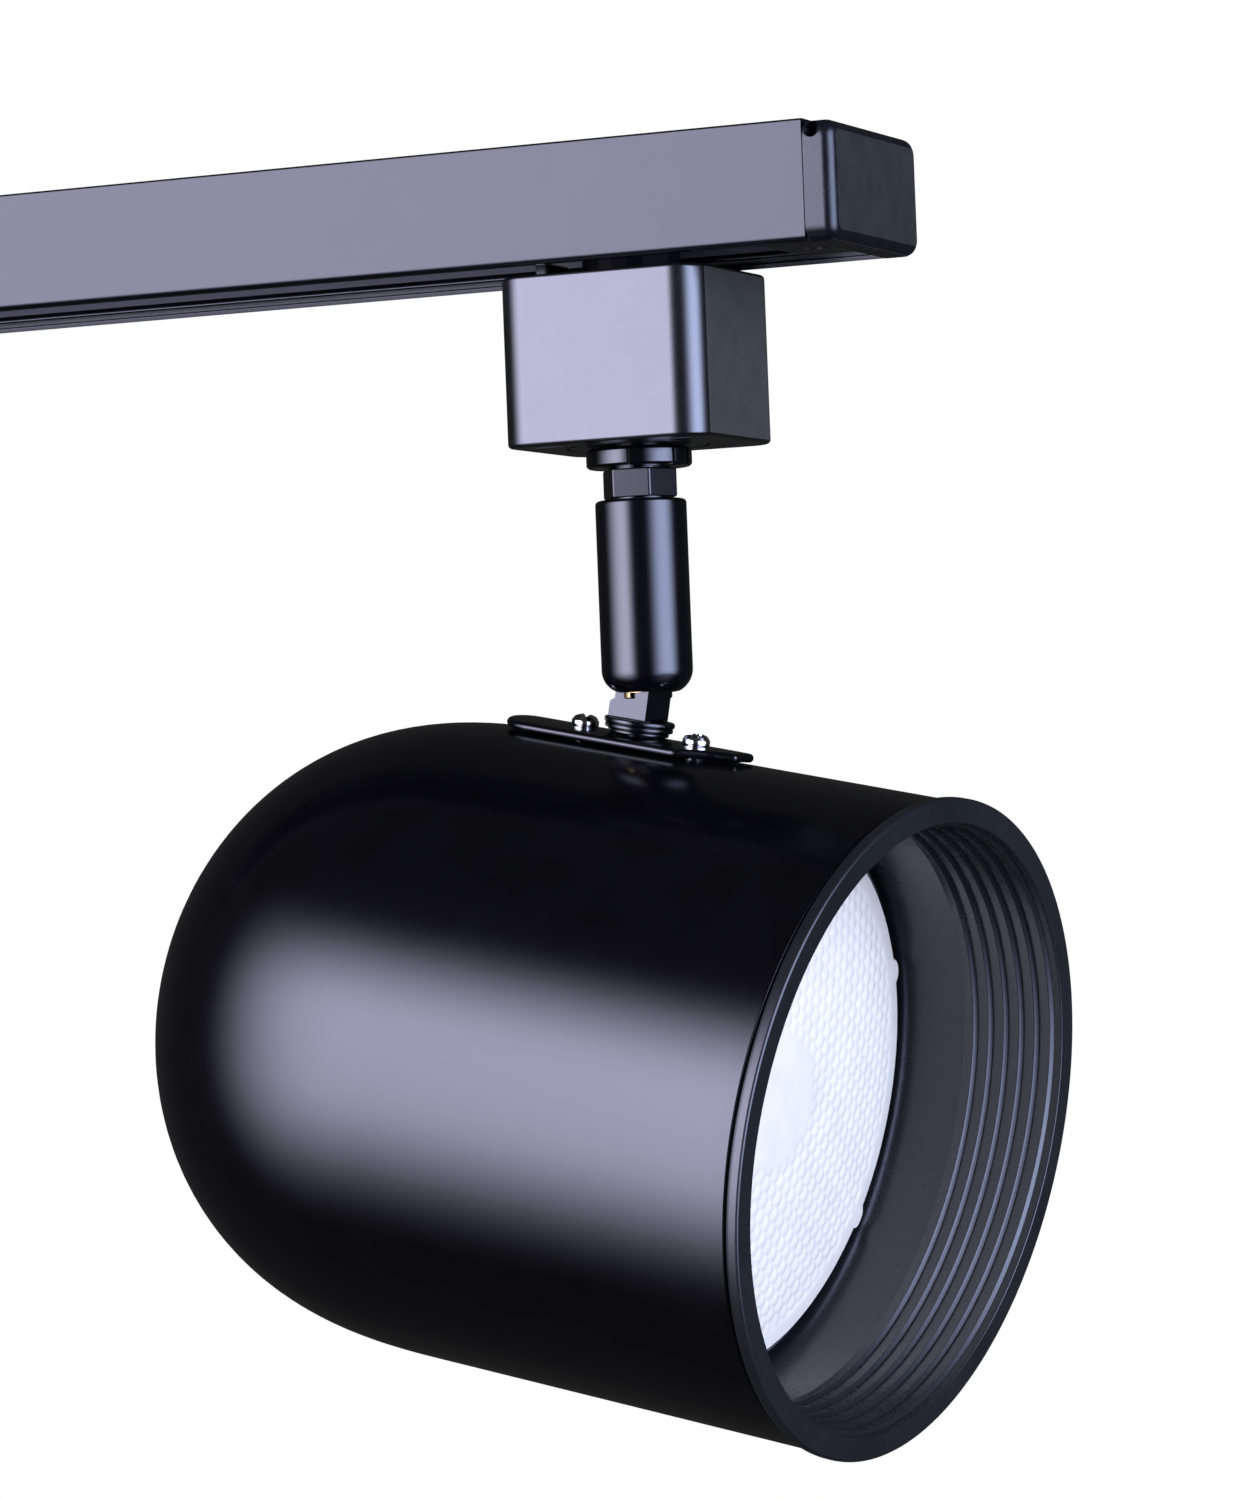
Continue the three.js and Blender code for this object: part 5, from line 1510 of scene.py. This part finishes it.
@dataclass
class Studio:
    """Soft light from panels, and a pale floor."""

    panels: tuple[SoftLight, ...] = (
        SoftLight(Falloff(-54, 64, -12, 34), Falloff(-27, 48, 27, 38), (9.0, 9.0, 12.4)),
        SoftLight(Falloff(52, 48, 98, 42), Falloff(-31, 56, 30, 40), (7.0, 8.0, 12.4)),
    )
    ambient: float = 0.03
    floor_drop: float = 0.35
    floor_half: float = 1.3

    def sky(self) -> None:
        """The light around the object; the camera itself sees plain white."""
        world = bpy.data.worlds.new("studio")
        bpy.context.scene.world = world
        world.use_nodes = True
        tree = world.node_tree
        tree.nodes.clear()
        bench = Bench(tree)
        direction = bench.make("ShaderNodeTexCoord", output="Generated")
        parts = tree.nodes.new("ShaderNodeSeparateXYZ")
        tree.links.new(direction.socket, parts.inputs[0])
        x, y, z = (Signal(tree, parts.outputs[i]) for i in range(3))
        azimuth = x.arctan(y * -1)
        elevation = z.arcsin()
        total = bench.make("ShaderNodeEmission", None, {0: (1, 1, 1, 1), 1: self.ambient})
        for panel in self.panels:
            mask = panel.mask(bench, azimuth, elevation)
            glow = bench.make("ShaderNodeEmission", None, {0: (*panel.glow, 1), 1: mask})
            total = bench.make("ShaderNodeAddShader", None, {0: total, 1: glow})
        white = bench.make("ShaderNodeEmission", None, {0: (1, 1, 1, 1), 1: 1.0})
        seen = bench.make("ShaderNodeLightPath", output="Is Camera Ray")
        both = bench.make("ShaderNodeMixShader", None, {0: seen, 1: total, 2: white})
        out = tree.nodes.new("ShaderNodeOutputWorld")
        tree.links.new(both.socket, out.inputs[0])

    def floor(self) -> None:
        """A pale floor well under the light; it takes no part in the reflections."""
        low, high = cad_box
        centre = (Vector(low) + Vector(high)) / 2
        half = self.floor_half
        z = Vector(low).z - self.floor_drop
        mesh = bpy.data.meshes.new("floor")
        corners = [(-half, -half), (half, -half), (half, half), (-half, half)]
        mesh.from_pydata([(centre.x + a, centre.y + b, z) for a, b in corners], [], [(0, 1, 2, 3)])
        piece = bpy.data.objects.new("floor", mesh)
        bpy.context.scene.collection.objects.link(piece)
        pale = Finish("floor_paper", (0.95, 0.94, 0.9), (0.93, 0.92, 0.88), 0.8, grain=40, relief=0.0001)
        dress(piece, pale)
        piece.visible_glossy = False
        piece.visible_diffuse = False

    def build(self) -> None:
        """Lights the scene."""
        bpy.context.scene.view_settings.view_transform = "Standard"
        self.sky()
        self.floor()


@dataclass
class Viewpoint:
    """The camera, set by the direction it looks from, in degrees and millimetres."""

    azimuth: float = 24.14
    elevation: float = -1.26
    roll: float = -2.22
    target: Triple = (-5.61, 0.0, -99.68)
    distance: float = 960.9
    lens: float = 138.68

    def build(self) -> None:
        """Makes the camera and sets it as the scene's."""
        az, el, roll = (math.radians(v) for v in (self.azimuth, self.elevation, self.roll))
        back = Vector((math.sin(az) * math.cos(el), -math.cos(az) * math.cos(el), math.sin(el)))
        right = Vector((math.cos(az), math.sin(az), 0))
        up = back.cross(right)
        across = right * math.cos(roll) + up * math.sin(roll)
        upward = up * math.cos(roll) - right * math.sin(roll)
        data = bpy.data.cameras.new("camera")
        data.sensor_width = 36
        data.lens = self.lens
        data.clip_start = 0.01
        data.clip_end = 50
        camera = bpy.data.objects.new("camera", data)
        bpy.context.scene.collection.objects.link(camera)
        turn = Matrix((across, upward, back)).transposed().to_4x4()
        camera.matrix_world = Matrix.Translation((Vector(self.target) + back * self.distance) * MM) @ turn
        bpy.context.scene.camera = camera


def main() -> None:
    """Builds the studio, the camera and every sub-assembly in order."""
    logging.basicConfig(level=logging.INFO, format="%(message)s")
    Viewpoint().build()
    Studio().build()
    dress_frame()
    assemblies: Sequence[Callable[[], object]] = (TrackRun, Adapter, Stem, Head, Trim, Lamp)
    for assembly in assemblies:
        assembly().build()
        log.info("%s is built", assembly.__name__)


if __name__ == "__main__":
    main()
